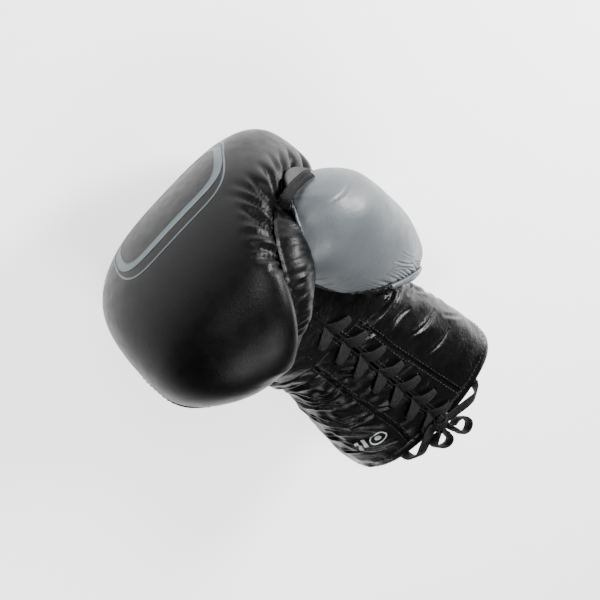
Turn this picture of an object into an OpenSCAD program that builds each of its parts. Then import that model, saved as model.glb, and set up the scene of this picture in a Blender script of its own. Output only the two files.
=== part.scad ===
// Lace-up boxing glove for the right hand, lying on its back with the lacing on top.
// +Y runs from the cuff mouth to the fist, +Z is the palm side, +X is the thumb side.
// The origin is the centre of the cuff mouth. Millimetres.

/* [Cuff] */
// Outside width of the cuff at its mouth
mouth_w = 126; // [116:1:132]
// Outside depth of the cuff at its mouth
mouth_d = 62; // [56:1:66]
// Distance from the mouth to the wrist's bending axis
wrist_y = 117; // [112:1:120]
// Radius of the bend's round face, about the wrist axis
wrist_r = 45; // [43:0.5:46]
// Clearance between the cuff and the mitt at the wrist
wrist_gap = 2.5; // [2:0.5:3]

/* [Mitt] */
// Distance from the mouth to where the fingers start to curl
turn_y = 192; // [190:1:196]
// Radius of the fingers' curl
curl_r = 46; // [45:1:48]
// Greatest width of the mitt
mitt_w = 154; // [148:1:158]
// Padding depth from the finger line to the knuckles' outer face
knuckle_d = 56; // [52:1:58]
// Depth from the finger line to the palm's outer face
palm_d = 38; // [37:0.5:39]

/* [Thumb] */
// Length of the thumb case from its root to its tip
thumb_l = 142; // [134:1:146]
// Greatest width of the thumb case
thumb_w = 64; // [60:1:66]
// Clearance between the thumb case and the mitt
thumb_gap = 4; // [3:0.5:5]
// Padded wall of the thumb case on the side that lies against the mitt
thumb_wall = 6; // [5:0.5:7]

/* [Materials] */
// Thickness of the leather
leather_t = 1.6; // [1.2:0.1:2]
// Thickness of the lining
lining_t = 1.2; // [0.8:0.1:1.4]
// Thickness of a lace flap, two leathers with a stiffener between
flap_t = 3.4; // [3:0.1:4]
// Depth of the bound edge round the mouth
binding_t = 2.4; // [2:0.1:3]

/* [Lacing] */
// Distance between two rows of lace holes
row_pitch = 22.5; // [20:0.5:24]
// Distance of a lace hole from the middle of the lacing
hole_x = 13; // [12:0.5:14]
// Radius of a lace hole
hole_r = 2.6; // [2.4:0.1:2.8]
// Width of the flat lace
lace_w = 8; // [7:0.5:8.5]
// Thickness of the flat lace
lace_t = 1.6; // [1.2:0.1:1.8]

/* [Hidden] */
$fn = 32;

// Columns of the glove's sections: 0 is the thumb side, 90 the palm, 180 the outer side,
// 270 the back. The lacing lies between columns 5 and 6, its flaps reach to 4 and 7.
COLS = [0, 20, 38, 54, 67, 87, 93, 113, 126, 142, 160, 180, 200, 220, 240, 260, 280, 300, 320, 340];
N = len(COLS);
SEAM_BACK_OUTER = 12;
SEAM_BACK_THUMB = 19;
SEAM_PALM_THUMB = 2;
SEAM_PALM_OUTER = 9;
CUFF_RINGS = 5;
STRAIGHT_RINGS = 4;
ARC_RINGS = 8;
CAP_RINGS = 4;
MITT_RINGS = STRAIGHT_RINGS + ARC_RINGS + CAP_RINGS;
SLIT_RING = 2;
ROLL_RING = 7;
PORT_RING = 2;

// Outer form: distance along the finger line, half width, depth of the back, depth of the
// palm side, shift to the thumb side, squareness, share by which the thumb side is cut away.
OUTER = [
  [0, mouth_w / 2, mouth_d / 2, mouth_d / 2, 1, 2.3, 0],
  [22, mouth_w / 2, mouth_d / 2 + 2, mouth_d / 2 + 1, 0, 2.3, 0],
  [70, mouth_w / 2 - 6, mouth_d / 2 + 3, mouth_d / 2 + 2, 0, 2.2, 0],
  [115, mouth_w / 2 - 12, mouth_d / 2 + 3, mouth_d / 2 + 2, 0, 2.3, 0],
  [142, mitt_w / 2 - 19, knuckle_d - 17, palm_d - 2, -3, 2.4, 0.12],
  [167, mitt_w / 2 - 10, knuckle_d - 8, palm_d, -5, 2.5, 0.24],
  [205, mitt_w / 2 + 3, knuckle_d, palm_d, -8, 2.6, 0.34],
  [232, mitt_w / 2 + 6, knuckle_d + 2, palm_d, -5, 2.9, 0.4],
  [254, mitt_w / 2 - 1, knuckle_d + 1, palm_d, -12, 2.9, 0.38],
  [275, mitt_w / 2 - 10, knuckle_d - 2, palm_d, -20, 2.7, 0.3],
  [295, mitt_w / 2 - 20, knuckle_d - 6, palm_d, -27, 2.5, 0.22],
  [320, mitt_w / 2 - 30, knuckle_d - 10, palm_d, -29, 2.3, 0.2]];
OUTER_END = 316;
OUTER_CAP = 34;

// Hand compartment, in the same terms.
HAND = [
  [0, mouth_w / 2 - 5, mouth_d / 2 - 5, mouth_d / 2 - 5, 1, 2.2, 0],
  [22, 52, 24, 24, 0, 2.2, 0],
  [70, 46, 23, 23, 0, 2.2, 0],
  [115, 40, 21, 21, 0, 2.2, 0],
  [150, 42, 18, 24, -4, 2.3, 0.1],
  [192, 43, 16, 24, -10, 2.3, 0.15],
  [222, 40, 14, 20, -15, 2.3, 0.15],
  [250, 35, 12, 16, -19, 2.2, 0.1],
  [275, 31, 10, 14, -22, 2.2, 0]];
HAND_END = 266;
HAND_CAP = 20;

// Thumb case: distance from its root, then x, y, z, half width and half height.
THUMB_Y = 116;
THUMB = [
  [0, 56, 0, 12, 18, 16],
  [20, 55, 20, 19, 24, 22],
  [50, 54, 50, 30, 29, 27],
  [80, 51, 80, 39, thumb_w / 2, 29],
  [110, 48, 110, 46, thumb_w / 2 + 1, 29],
  [thumb_l, 45, thumb_l, 49, 27, 25]];
THUMB_HAND = [
  [0, 62, 10, 14, 11, 10],
  [30, 62, 34, 22, 13, 12],
  [70, 60, 70, 35, 14, 13],
  [thumb_l, 53, thumb_l - 26, 45, 12, 11]];
THUMB_COLS = 16;
THUMB_RINGS = 12;
THUMB_CAP = 30;
THUMB_BASE_CAP = 18;

function signed_pow(v, e) = sign(v) * pow(abs(v), e);
function mix(a, b, t) = a * (1 - t) + b * t;
function segment(table, s, i = 0) =
  i >= len(table) - 2 || s < table[i + 1][0] ? i : segment(table, s, i + 1);
function spline(p0, p1, p2, p3, t) =
  0.5 * ((2 * p1) + (p2 - p0) * t + (2 * p0 - 5 * p1 + 4 * p2 - p3) * t * t
         + (3 * p1 - p0 - 3 * p2 + p3) * t * t * t);
function row_at(table, s) =
  let(i = segment(table, s), last = len(table) - 1, a = table[i], b = table[i + 1])
  spline(table[max(i - 1, 0)], a, b, table[min(i + 2, last)],
         max(0, min(1, (s - a[0]) / (b[0] - a[0]))));

// Point of a section at column angle q, as [across, depth], for a table row k.
function section(k, c, q) =
  let(e = 2 / k[5], cut = cos(q) > 0 ? k[6] * (0.5 + 0.5 * sin(q)) : 0)
  [k[4] + k[1] * c * (1 - cut) * signed_pow(cos(q), e),
   (sin(q) > 0 ? k[3] : k[2]) * c * signed_pow(sin(q), e)];
function curl(s, p) =
  let(a = s < turn_y ? 0 : (s - turn_y) / curl_r * 180 / PI)
  s < turn_y ? [p[0], s, p[1]]
  : [p[0], turn_y + (curl_r - p[1]) * sin(a), curl_r - (curl_r - p[1]) * cos(a)];
function cap_scale(s, end, cap) =
  s <= end - cap ? 1 : sqrt(max(0, 1 - pow((s - end + cap) / cap, 2)));
function wrist_face(z, r) = wrist_y - sqrt(max(0, r * r - z * z));

// Rings of the cuff, from the binding to the wrist's round face.
function cuff_ring(table, i) = [for (q = COLS)
  let(t = i / CUFF_RINGS, z = section(row_at(table, t * wrist_y * 0.7), 1, q)[1],
      y = mix(binding_t, wrist_face(z, wrist_r + wrist_gap), t),
      p = section(row_at(table, y), 1, q)) [p[0], y, p[1]]];

// Rings of the mitt, from the wrist's round face to the fingers' end.
function straight_ring(table, i) = [for (q = COLS)
  let(t = i / STRAIGHT_RINGS, s = mix(wrist_y * 0.72, turn_y, t),
      z = section(row_at(table, s), 1, q)[1],
      y = mix(wrist_face(z, wrist_r), turn_y, t),
      p = section(row_at(table, y), 1, q)) [p[0], y, p[1]]];
function curl_s(i, end, cap) =
  i <= ARC_RINGS ? mix(turn_y, end - cap, i / ARC_RINGS)
  : end - cap + cap * sin(90 * (i - ARC_RINGS) / CAP_RINGS);
function curl_ring(table, i, end, cap) = [for (q = COLS)
  let(s = curl_s(i, end, cap)) curl(s, section(row_at(table, s), cap_scale(s, end, cap), q))];
function mitt_rings(table, end, cap) = concat(
  [for (i = [0:STRAIGHT_RINGS - 1]) straight_ring(table, i)],
  [for (i = [0:ARC_RINGS + CAP_RINGS]) curl_ring(table, i, end, cap)]);

CUFF_OUT = [for (i = [0:CUFF_RINGS]) cuff_ring(OUTER, i)];
CUFF_IN = [for (i = [0:CUFF_RINGS]) cuff_ring(HAND, i)];
MITT_OUT = mitt_rings(OUTER, OUTER_END, OUTER_CAP);
MITT_IN = mitt_rings(HAND, HAND_END, HAND_CAP);

// Pushes a point out of the mitt, so that the thumb case lies against the mitt's side.
function cut_at(k, dx, v, depth, cut, turns = 4) =
  let(x = pow(abs(dx) / (k[1] * (1 - cut)), k[5]), z = pow(abs(v) / depth, k[5]),
      next = dx > 0 ? k[6] * (0.5 + 0.5 * sign(v) * sqrt(z / max(0.001, x + z))) : 0)
  turns == 0 ? next : cut_at(k, dx, v, depth, next, turns - 1);
function clear_of_mitt(p, gap) =
  let(bent = p[1] > turn_y, dy = p[1] - turn_y, dz = curl_r - p[2],
      a = bent ? atan2(dy, dz) : 0, s = bent ? turn_y + curl_r * a * PI / 180 : p[1],
      v = bent ? curl_r - norm([dy, dz]) : p[2], k = row_at(OUTER, s), dx = p[0] - k[4],
      depth = v > 0 ? k[3] : k[2], w = k[1] * (1 - cut_at(k, dx, v, depth, 0)),
      f = pow(abs(dx) / w, k[5]) + pow(abs(v) / depth, k[5]),
      g = pow(f, -1 / k[5]) + gap / max(1, norm([dx, v])))
  g <= 1 ? p : curl(s, [k[4] + dx * g, v * g]);

function thumb_case(table, i, gap) =
  let(u = i / THUMB_RINGS, s = thumb_l * (0.5 - 0.5 * cos(180 * u)), k = row_at(table, s),
      base = s < THUMB_BASE_CAP ? sqrt(max(0, 1 - pow(1 - s / THUMB_BASE_CAP, 2))) : 1,
      c = base * cap_scale(s, thumb_l, THUMB_CAP))
  [for (j = [0:THUMB_COLS - 1])
    let(q = 360 * j / THUMB_COLS,
        p = [k[1] + k[4] * c * cos(q), THUMB_Y + k[2], k[3] + k[5] * c * sin(q)])
    clear_of_mitt(p, gap)];
THUMB_OUT = [for (i = [0:THUMB_RINGS]) thumb_case(THUMB, i, thumb_gap)];
THUMB_IN = [for (i = [0:THUMB_RINGS]) thumb_case(THUMB_HAND, i, thumb_gap + thumb_wall)];

// Depth of a layer boundary below the outside: 0 is the outside, 1 the leather's underside,
// 2 the middle of the padding, 3 the lining's outside, 4 the compartment.
function level_depth(level, d) =
  level == 0 ? 0
  : level == 1 ? min(leather_t, d / 3)
  : level == 2 ? d / 2
  : level == 3 ? max(d - lining_t, d * 2 / 3)
  : level == 4 ? d
  : flap_t;
function at_level(a, b, level) =
  let(d = norm(b - a)) d < 0.01 ? a : a + (b - a) * level_depth(level, d) / d;

// One closed solid through the given levels, over the cells (ring, column) for which keep is
// true. A pole is an end ring drawn together into one point.
module layer(outside, inside, levels, keep, start_pole = false, end_pole = false) {
  m = len(outside) - 1;
  n = len(outside[0]);
  top = len(levels) - 1;
  points = [for (level = levels) for (i = [0:m]) for (j = [0:n - 1])
    at_level(outside[i][j], inside[i][j], level)];
  id = function(l, i, j) l * (m + 1) * n + i * n
    + ((start_pole && i == 0) || (end_pole && i == m) ? 0 : (j + n) % n);
  on = function(i, j) i >= 0 && i < m && keep(i, (j + n) % n);
  cells = [for (i = [0:m - 1]) for (j = [0:n - 1]) if (on(i, j)) [i, j]];
  skins = [for (c = cells) let(i = c[0], j = c[1])
    each [[id(0, i, j), id(0, i + 1, j + 1), id(0, i + 1, j)],
          [id(0, i, j), id(0, i, j + 1), id(0, i + 1, j + 1)],
          [id(top, i, j), id(top, i + 1, j), id(top, i + 1, j + 1)],
          [id(top, i, j), id(top, i + 1, j + 1), id(top, i, j + 1)]]];
  wall = function(i, j, p, q, flip) [for (l = [0:top - 1])
    each (flip ? [[id(l, i, j), id(l + 1, p, q), id(l, p, q)], [id(l, i, j), id(l + 1, i, j), id(l + 1, p, q)]]
    : [[id(l, i, j), id(l, p, q), id(l + 1, p, q)], [id(l, i, j), id(l + 1, p, q), id(l + 1, i, j)]])];
  walls = [for (c = cells) let(i = c[0], j = c[1])
    each concat(on(i - 1, j) ? [] : wall(i, j, i, j + 1, true),
                on(i + 1, j) ? [] : wall(i + 1, j, i + 1, j + 1, false),
                on(i, j - 1) ? [] : wall(i, j, i + 1, j, false),
                on(i, j + 1) ? [] : wall(i, j + 1, i + 1, j + 1, true))];
  faces = [for (f = concat(skins, walls)) if (f[0] != f[1] && f[1] != f[2] && f[0] != f[2]) f];
  polyhedron(points, faces);
}
LEATHER = [0, 1];
FLAP = [0, 1, 5];
OUTER_FOAM = [1, 2];
INNER_FOAM = [2, 3];
FOAM = [1, 2, 3];
LINING = [3, 4];
module cuff_layer(levels, keep) layer(CUFF_OUT, CUFF_IN, levels, keep);
module mitt_layer(levels, keep) layer(MITT_OUT, MITT_IN, levels, keep, end_pole = true);
module thumb_layer(levels, keep) layer(THUMB_OUT, THUMB_IN, levels, keep, true, true);

// Which columns belong to each panel.
function on_back(j) = j >= SEAM_BACK_OUTER && j < SEAM_BACK_THUMB;
function on_thumb_side(j) = j >= SEAM_BACK_THUMB || j < SEAM_PALM_THUMB;
function on_outer_side(j) = j >= SEAM_PALM_OUTER && j < SEAM_BACK_OUTER;
function on_palm(j) = j >= SEAM_PALM_THUMB && j < SEAM_PALM_OUTER;
function in_port(i, j) = i == PORT_RING && on_thumb_side(j);
function in_slit(i, j) = i < SLIT_RING && j >= 4 && j <= 6;
THUMB_PANEL = [14, 6];
function on_grey(j) = j >= THUMB_PANEL[0] || j < THUMB_PANEL[1];
function in_thumb_port(i, j) = i >= 3 && i <= 4 && j >= 8 && j <= 9;

black = [0.07, 0.07, 0.075];
grey = [0.43, 0.47, 0.5];
foam_colour = [0.85, 0.8, 0.68];
lining_colour = [0.55, 0.56, 0.58];

// Cuff
module cuff_back_leather() color(black) cuff_layer(LEATHER, function(i, j) on_back(j));
module cuff_thumb_side_leather()
  color(black) cuff_layer(LEATHER, function(i, j) on_thumb_side(j) || j == 2 || j == 3);
module cuff_outer_side_leather()
  color(black) cuff_layer(LEATHER, function(i, j) on_outer_side(j) || j == 7 || j == 8);
module cuff_back_foam() color(foam_colour) cuff_layer(FOAM, function(i, j) on_back(j));
module cuff_thumb_side_foam()
  color(foam_colour) cuff_layer(FOAM, function(i, j) on_thumb_side(j) || j == 2 || j == 3);
module cuff_outer_side_foam()
  color(foam_colour) cuff_layer(FOAM, function(i, j) on_outer_side(j) || j == 7 || j == 8);
module cuff_lining() color(lining_colour) cuff_layer(LINING, function(i, j) j < 4 || j > 6);

// The binding is a ring of edge tape in front of the mouth, open at the lacing.
module cuff_binding() {
  proud = 0.8;
  face = function(table, y, out) [for (q = COLS)
    let(p = section(row_at(table, 0), 1, q), k = 1 + out / norm(p)) [p[0] * k, y, p[1] * k]];
  color(black) layer([face(OUTER, 0, proud), face(OUTER, binding_t, proud)],
    [face(HAND, 0, -proud / 2), face(HAND, binding_t, -proud / 2)], [0, 4],
    function(i, j) j < 4 || j > 6);
}

// Lace flaps with their punched holes
function palm_z(y) = row_at(OUTER, y)[3];
CUFF_ROWS = [for (i = [0:3]) 9 + i * row_pitch];
PALM_ROWS = [for (i = [0:1]) 100 + i * row_pitch];
module holes(rows, side) {
  for (y = rows) translate([side * hole_x, y, palm_z(y) - flap_t - 4]) cylinder(r = hole_r, h = flap_t + 8);
}
module lace_flap(side) difference() {
  cuff_layer(FLAP, function(i, j) j == (side > 0 ? 4 : 6));
  holes(CUFF_ROWS, side);
}
module palm_flap(side) difference() {
  mitt_layer(FLAP, function(i, j) i < SLIT_RING && j == (side > 0 ? 4 : 6));
  holes(PALM_ROWS, side);
}
module lace_flap_thumb_side() color(black) lace_flap(1);
module lace_flap_outer_side() color(black) lace_flap(-1);
module palm_flap_thumb_side() color(black) palm_flap(1);
module palm_flap_outer_side() color(black) palm_flap(-1);

// A tube through points, with a flat oval section of half width w and half thickness t.
module tube(path, w, t, sides = 8) {
  last = len(path) - 1;
  ring = function(i)
    let(d = path[min(i + 1, last)] - path[max(i - 1, 0)], f = d / norm(d),
        up = abs(f[2]) > 0.9 ? [1, 0, 0] : [0, 0, 1], a = cross(f, up), x = a / norm(a), z = cross(x, f))
    [for (j = [0:sides - 1]) path[i] + x * w * cos(360 * j / sides) + z * t * sin(360 * j / sides)];
  points = [for (i = [0:last]) each ring(i)];
  faces = concat([[for (j = [sides - 1:-1:0]) j]],
    [for (i = [0:last - 1]) for (j = [0:sides - 1]) let(a = i * sides + j, b = i * sides + (j + 1) % sides)
      each [[a, b + sides, a + sides], [a, b, b + sides]]],
    [[for (j = [0:sides - 1]) last * sides + j]]);
  polyhedron(points, faces);
}
function edge_path(surface, j, rings, out) = [for (i = rings) surface[i][j] + [0, 0, out]];
binding_r = 1.1;
binding_offset = binding_r + 0.6;
module flap_binding_thumb_side()
  color(grey) tube([for (i = [0:CUFF_RINGS]) CUFF_OUT[i][5] + [-binding_offset, 0, -flap_t / 2]], binding_r, flap_t / 2);
module flap_binding_outer_side()
  color(grey) tube([for (i = [0:CUFF_RINGS]) CUFF_OUT[i][6] + [binding_offset, 0, -flap_t / 2]], binding_r, flap_t / 2);

// Lace: a bar across the gap in each row, and a run under the flap to the next row
lace_lift = 0.5;
module lace_bar(y) {
  top = palm_z(y) + lace_lift;
  translate([-hole_x - 2, y - lace_w / 2, top]) cube([2 * hole_x + 4, lace_w, lace_t]);
  for (side = [-1, 1]) translate([side * hole_x, y, top - flap_t - 5]) cylinder(r = hole_r - 0.9, h = flap_t + 5.2);
}
module lace_run(y, length, side) {
  z = palm_z(y) - flap_t - 4.6;
  translate([side * (hole_x - 3) - lace_w / 2 + 1, y - 2, z - lace_t]) cube([lace_w - 2, length + 4, lace_t]);
}
module wrist_lace() color(black) union() {
  for (y = CUFF_ROWS) lace_bar(y);
  for (i = [0:2]) lace_run(CUFF_ROWS[i], row_pitch, i % 2 == 0 ? 1 : -1);
}
module palm_lace() color(black) union() {
  for (y = PALM_ROWS) lace_bar(y);
  lace_run(PALM_ROWS[0], row_pitch, -1);
}

// Bow, tied over the first row of holes. Its routes are given from the knot's centre.
BOW = [0, 9, mouth_d / 2 + 7.5];
LOOP_OUTER_SIDE = [[-5, -5, 2], [-10, -7, 1], [-15, -10, 1], [-14, -14, 2], [-9, -16, 4], [-4, -14, 4], [-3, -9, 2]];
LOOP_THUMB_SIDE = [[4, -7, 3], [9, -9, 1], [13, -13, 1], [13, -18, 3], [8, -20, 5], [4, -17, 6], [3, -12, 5]];
TAIL_THUMB_SIDE = [[8, -4, -1], [15, -7, -2], [22, -10, -3], [28, -13, -5], [33, -15, -10], [35, -15, -16]];
TAIL_OUTER_SIDE = [[-8, 1, -1], [-15, -3, -1], [-21, -8, -2], [-27, -13, -4], [-33, -15, -9], [-35, -15, -15]];
tip_l = 14;
function bow_path(points) = [for (p = points) BOW + p];
module bow_knot() color(black) translate(BOW) scale([1, 0.8, 0.75]) sphere(r = 5);
module bow_loop_thumb_side() color(black) tube(bow_path(LOOP_THUMB_SIDE), lace_t / 2, lace_w / 2);
module bow_loop_outer_side() color(black) tube(bow_path(LOOP_OUTER_SIDE), lace_t / 2, lace_w / 2);
module lace_tail_thumb_side() color(black) tube(bow_path(TAIL_THUMB_SIDE), 2, 2);
module lace_tail_outer_side() color(black) tube(bow_path(TAIL_OUTER_SIDE), 2, 2);
module lace_tip(points) {
  b = points[len(points) - 1];
  f = (b - points[len(points) - 2]) / norm(b - points[len(points) - 2]);
  tube(bow_path([b + f * 0.2, b + f * tip_l]), 2, 2);
}
module lace_tip_thumb_side() color(black) lace_tip(TAIL_THUMB_SIDE);
module lace_tip_outer_side() color(black) lace_tip(TAIL_OUTER_SIDE);

// Mitt
module back_leather() color(black) mitt_layer(LEATHER, function(i, j) on_back(j));
module palm_leather() color(black) mitt_layer(LEATHER, function(i, j) on_palm(j) && i >= SLIT_RING && i < ROLL_RING);
module finger_leather() color(black) mitt_layer(LEATHER, function(i, j) on_palm(j) && i >= ROLL_RING);
module outer_side_leather() color(black) mitt_layer(LEATHER, function(i, j) on_outer_side(j));
module thumb_side_leather() color(black) mitt_layer(LEATHER, function(i, j) on_thumb_side(j) && i > PORT_RING);
module heel_leather_thumb_side() color(black) mitt_layer(LEATHER,
  function(i, j) i < SLIT_RING && (on_thumb_side(j) || j == 2 || j == 3));
module heel_leather_outer_side() color(black) mitt_layer(LEATHER, function(i, j) i < SLIT_RING && (j == 7 || j == 8));
module knuckle_foam_outer() color(foam_colour) mitt_layer(OUTER_FOAM, function(i, j) on_back(j));
module knuckle_foam_inner() color(foam_colour) mitt_layer(INNER_FOAM, function(i, j) on_back(j));
module outer_side_foam() color(foam_colour) mitt_layer(FOAM, function(i, j) on_outer_side(j));
module thumb_side_foam() color(foam_colour) mitt_layer(FOAM, function(i, j) on_thumb_side(j) && i > PORT_RING);
module heel_foam_thumb_side() color(foam_colour) mitt_layer(FOAM,
  function(i, j) i < SLIT_RING && (on_thumb_side(j) || j == 2 || j == 3));
module heel_foam_outer_side() color(foam_colour) mitt_layer(FOAM, function(i, j) i < SLIT_RING && (j == 7 || j == 8));
module palm_foam() color(foam_colour) mitt_layer(FOAM, function(i, j) on_palm(j) && i >= SLIT_RING && i < ROLL_RING);
module finger_foam() color(foam_colour) mitt_layer(FOAM, function(i, j) on_palm(j) && i >= ROLL_RING);
module hand_lining() color(lining_colour) mitt_layer(LINING, function(i, j) !in_port(i, j) && !in_slit(i, j));

// Grip bar: the roll that the fingers close round, across the palm inside the mitt
grip_r = 6;
grip_l = 36;
GRIP = curl(205, [0, row_at(HAND, 205)[3] - grip_r - 3.5]);
module grip_bar() color(lining_colour) translate([row_at(HAND, 205)[4] - grip_l / 2, GRIP[1], GRIP[2]])
  rotate([0, 90, 0]) cylinder(r = grip_r, h = grip_l);

// Thumb
module thumb_leather_outer() color(grey) thumb_layer(LEATHER, function(i, j) on_grey(j));
module thumb_leather_inner() color(black) thumb_layer(LEATHER, function(i, j) !on_grey(j) && !in_thumb_port(i, j));
module thumb_foam_outer() color(foam_colour) thumb_layer(FOAM, function(i, j) on_grey(j));
module thumb_foam_inner() color(foam_colour) thumb_layer(FOAM, function(i, j) !on_grey(j) && !in_thumb_port(i, j));
module thumb_lining() color(lining_colour) thumb_layer(LINING, function(i, j) !in_thumb_port(i, j));
piping_r = 1.2;
function mean(values) = values * [for (v = values) 1] / len(values);
module thumb_piping() color(black) tube(
  [for (i = [1:THUMB_RINGS - 1]) let(p = THUMB_OUT[i][THUMB_PANEL[1]],
      c = [for (k = [0:2]) mean([for (q = THUMB_OUT[i]) q[k]])], out = p - c)
    p + out / norm(out) * (piping_r + 1.3)], piping_r, piping_r, 6);

// Strap that holds the thumb case to the mitt's side
STRAP_S = 262;
strap_w = 9;
function strap_point(q, out) =
  let(p = section(row_at(OUTER, STRAP_S), 1, q)) curl(STRAP_S, p * (1 + out / norm(p)));
module thumb_strap() color(black)
  tube([for (q = [326:4:342]) strap_point(q, 2.4)], 0.9, strap_w / 2);

cuff_back_leather();
cuff_thumb_side_leather();
cuff_outer_side_leather();
cuff_back_foam();
cuff_thumb_side_foam();
cuff_outer_side_foam();
cuff_lining();
cuff_binding();
lace_flap_thumb_side();
lace_flap_outer_side();
flap_binding_thumb_side();
flap_binding_outer_side();
wrist_lace();
bow_knot();
bow_loop_thumb_side();
bow_loop_outer_side();
lace_tail_thumb_side();
lace_tail_outer_side();
lace_tip_thumb_side();
lace_tip_outer_side();
back_leather();
palm_leather();
finger_leather();
outer_side_leather();
thumb_side_leather();
heel_leather_thumb_side();
heel_leather_outer_side();
knuckle_foam_outer();
knuckle_foam_inner();
outer_side_foam();
thumb_side_foam();
heel_foam_thumb_side();
heel_foam_outer_side();
palm_foam();
finger_foam();
hand_lining();
grip_bar();
palm_flap_thumb_side();
palm_flap_outer_side();
palm_lace();
thumb_strap();
thumb_leather_outer();
thumb_leather_inner();
thumb_foam_outer();
thumb_foam_inner();
thumb_lining();
thumb_piping();
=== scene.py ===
"""Laced boxing glove: leather panels, gathers, padding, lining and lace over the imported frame."""
import math

import bpy
import numpy as np
from mathutils import Matrix, Vector


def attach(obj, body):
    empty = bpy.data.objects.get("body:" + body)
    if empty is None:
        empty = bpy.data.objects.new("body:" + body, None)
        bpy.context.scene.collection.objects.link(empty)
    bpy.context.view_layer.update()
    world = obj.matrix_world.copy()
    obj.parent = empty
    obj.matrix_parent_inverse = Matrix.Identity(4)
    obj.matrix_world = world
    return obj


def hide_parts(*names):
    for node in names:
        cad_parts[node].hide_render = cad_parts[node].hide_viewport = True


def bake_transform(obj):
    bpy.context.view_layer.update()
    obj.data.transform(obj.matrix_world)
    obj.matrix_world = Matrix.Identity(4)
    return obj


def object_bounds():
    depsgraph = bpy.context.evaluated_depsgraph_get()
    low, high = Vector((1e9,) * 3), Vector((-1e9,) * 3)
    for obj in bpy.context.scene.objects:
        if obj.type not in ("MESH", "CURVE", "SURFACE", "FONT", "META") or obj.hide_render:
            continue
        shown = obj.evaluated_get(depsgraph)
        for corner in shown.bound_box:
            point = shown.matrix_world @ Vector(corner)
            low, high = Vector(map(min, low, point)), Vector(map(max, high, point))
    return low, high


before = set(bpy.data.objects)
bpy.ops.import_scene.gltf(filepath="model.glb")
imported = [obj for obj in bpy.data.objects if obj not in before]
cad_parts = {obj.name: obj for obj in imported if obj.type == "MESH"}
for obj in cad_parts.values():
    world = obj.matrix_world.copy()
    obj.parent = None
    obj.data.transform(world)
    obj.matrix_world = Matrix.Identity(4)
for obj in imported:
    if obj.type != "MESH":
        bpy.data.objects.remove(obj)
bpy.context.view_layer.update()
MM = 0.001
STEP = 1.0

# ---------------------------------------------------------------- the glove's form, in millimetres
MOUTH_W, MOUTH_D, MITT_W, KNUCKLE_D, PALM_D = 126.0, 62.0, 154.0, 56.0, 38.0
TURN_Y, CURL_R = 192.0, 46.0
OUTER = np.array([
    [0, MOUTH_W / 2, MOUTH_D / 2, MOUTH_D / 2, 1, 2.3, 0],
    [22, MOUTH_W / 2, MOUTH_D / 2 + 2, MOUTH_D / 2 + 1, 0, 2.3, 0],
    [70, MOUTH_W / 2 - 6, MOUTH_D / 2 + 3, MOUTH_D / 2 + 2, 0, 2.2, 0],
    [115, MOUTH_W / 2 - 12, MOUTH_D / 2 + 3, MOUTH_D / 2 + 2, 0, 2.3, 0],
    [142, MITT_W / 2 - 19, KNUCKLE_D - 17, PALM_D - 2, -3, 2.4, 0.12],
    [167, MITT_W / 2 - 10, KNUCKLE_D - 8, PALM_D, -5, 2.5, 0.24],
    [205, MITT_W / 2 + 3, KNUCKLE_D, PALM_D, -8, 2.6, 0.34],
    [232, MITT_W / 2 + 6, KNUCKLE_D + 2, PALM_D, -5, 2.9, 0.4],
    [254, MITT_W / 2 - 1, KNUCKLE_D + 1, PALM_D, -12, 2.9, 0.38],
    [275, MITT_W / 2 - 10, KNUCKLE_D - 2, PALM_D, -20, 2.7, 0.3],
    [295, MITT_W / 2 - 20, KNUCKLE_D - 6, PALM_D, -27, 2.5, 0.22],
    [320, MITT_W / 2 - 30, KNUCKLE_D - 10, PALM_D, -29, 2.3, 0.2]])
HAND = np.array([
    [0, MOUTH_W / 2 - 5, MOUTH_D / 2 - 5, MOUTH_D / 2 - 5, 1, 2.2, 0],
    [22, 52, 24, 24, 0, 2.2, 0], [70, 46, 23, 23, 0, 2.2, 0], [115, 40, 21, 21, 0, 2.2, 0],
    [150, 42, 18, 24, -4, 2.3, 0.1], [192, 43, 16, 24, -10, 2.3, 0.15],
    [222, 40, 14, 20, -15, 2.3, 0.15], [250, 35, 12, 16, -19, 2.2, 0.1],
    [275, 31, 10, 14, -22, 2.2, 0]])
OUTER_END, OUTER_CAP = 316.0, 34.0
HAND_END, HAND_CAP = 266.0, 20.0
THUMB_Y, THUMB_L, THUMB_W, THUMB_GAP, THUMB_WALL = 116.0, 142.0, 64.0, 4.0, 6.0
THUMB = np.array([
    [0, 56, 0, 12, 18, 16], [20, 55, 20, 19, 24, 22], [50, 54, 50, 30, 29, 27],
    [80, 51, 80, 39, THUMB_W / 2, 29], [110, 48, 110, 46, THUMB_W / 2 + 1, 29],
    [THUMB_L, 45, THUMB_L, 49, 27, 25]])
THUMB_HAND = np.array([
    [0, 62, 10, 14, 11, 10], [30, 62, 34, 22, 13, 12], [70, 60, 70, 35, 14, 13],
    [THUMB_L, 53, THUMB_L - 26, 45, 12, 11]])
THUMB_CAP, THUMB_BASE_CAP = 30.0, 18.0


def row_at(table, s):
    s = np.asarray(s, float)
    i = np.clip(np.searchsorted(table[:, 0], s, "right") - 1, 0, len(table) - 2)
    a, b = table[i], table[i + 1]
    p, n = table[np.maximum(i - 1, 0)], table[np.minimum(i + 2, len(table) - 1)]
    t = np.clip((s - a[..., 0]) / (b[..., 0] - a[..., 0]), 0, 1)[..., None]
    return 0.5 * (2 * a + (b - p) * t + (2 * p - 5 * a + 4 * b - n) * t * t
                  + (3 * a - p - 3 * b + n) * t ** 3)


def signed_pow(v, e):
    return np.sign(v) * np.abs(v) ** e


def curl(s, x, v):
    a = np.maximum(0, (s - TURN_Y) / CURL_R)
    return np.stack([x, np.where(s < TURN_Y, s, TURN_Y + (CURL_R - v) * np.sin(a)),
                     np.where(s < TURN_Y, v, CURL_R - (CURL_R - v) * np.cos(a))], -1)


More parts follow.
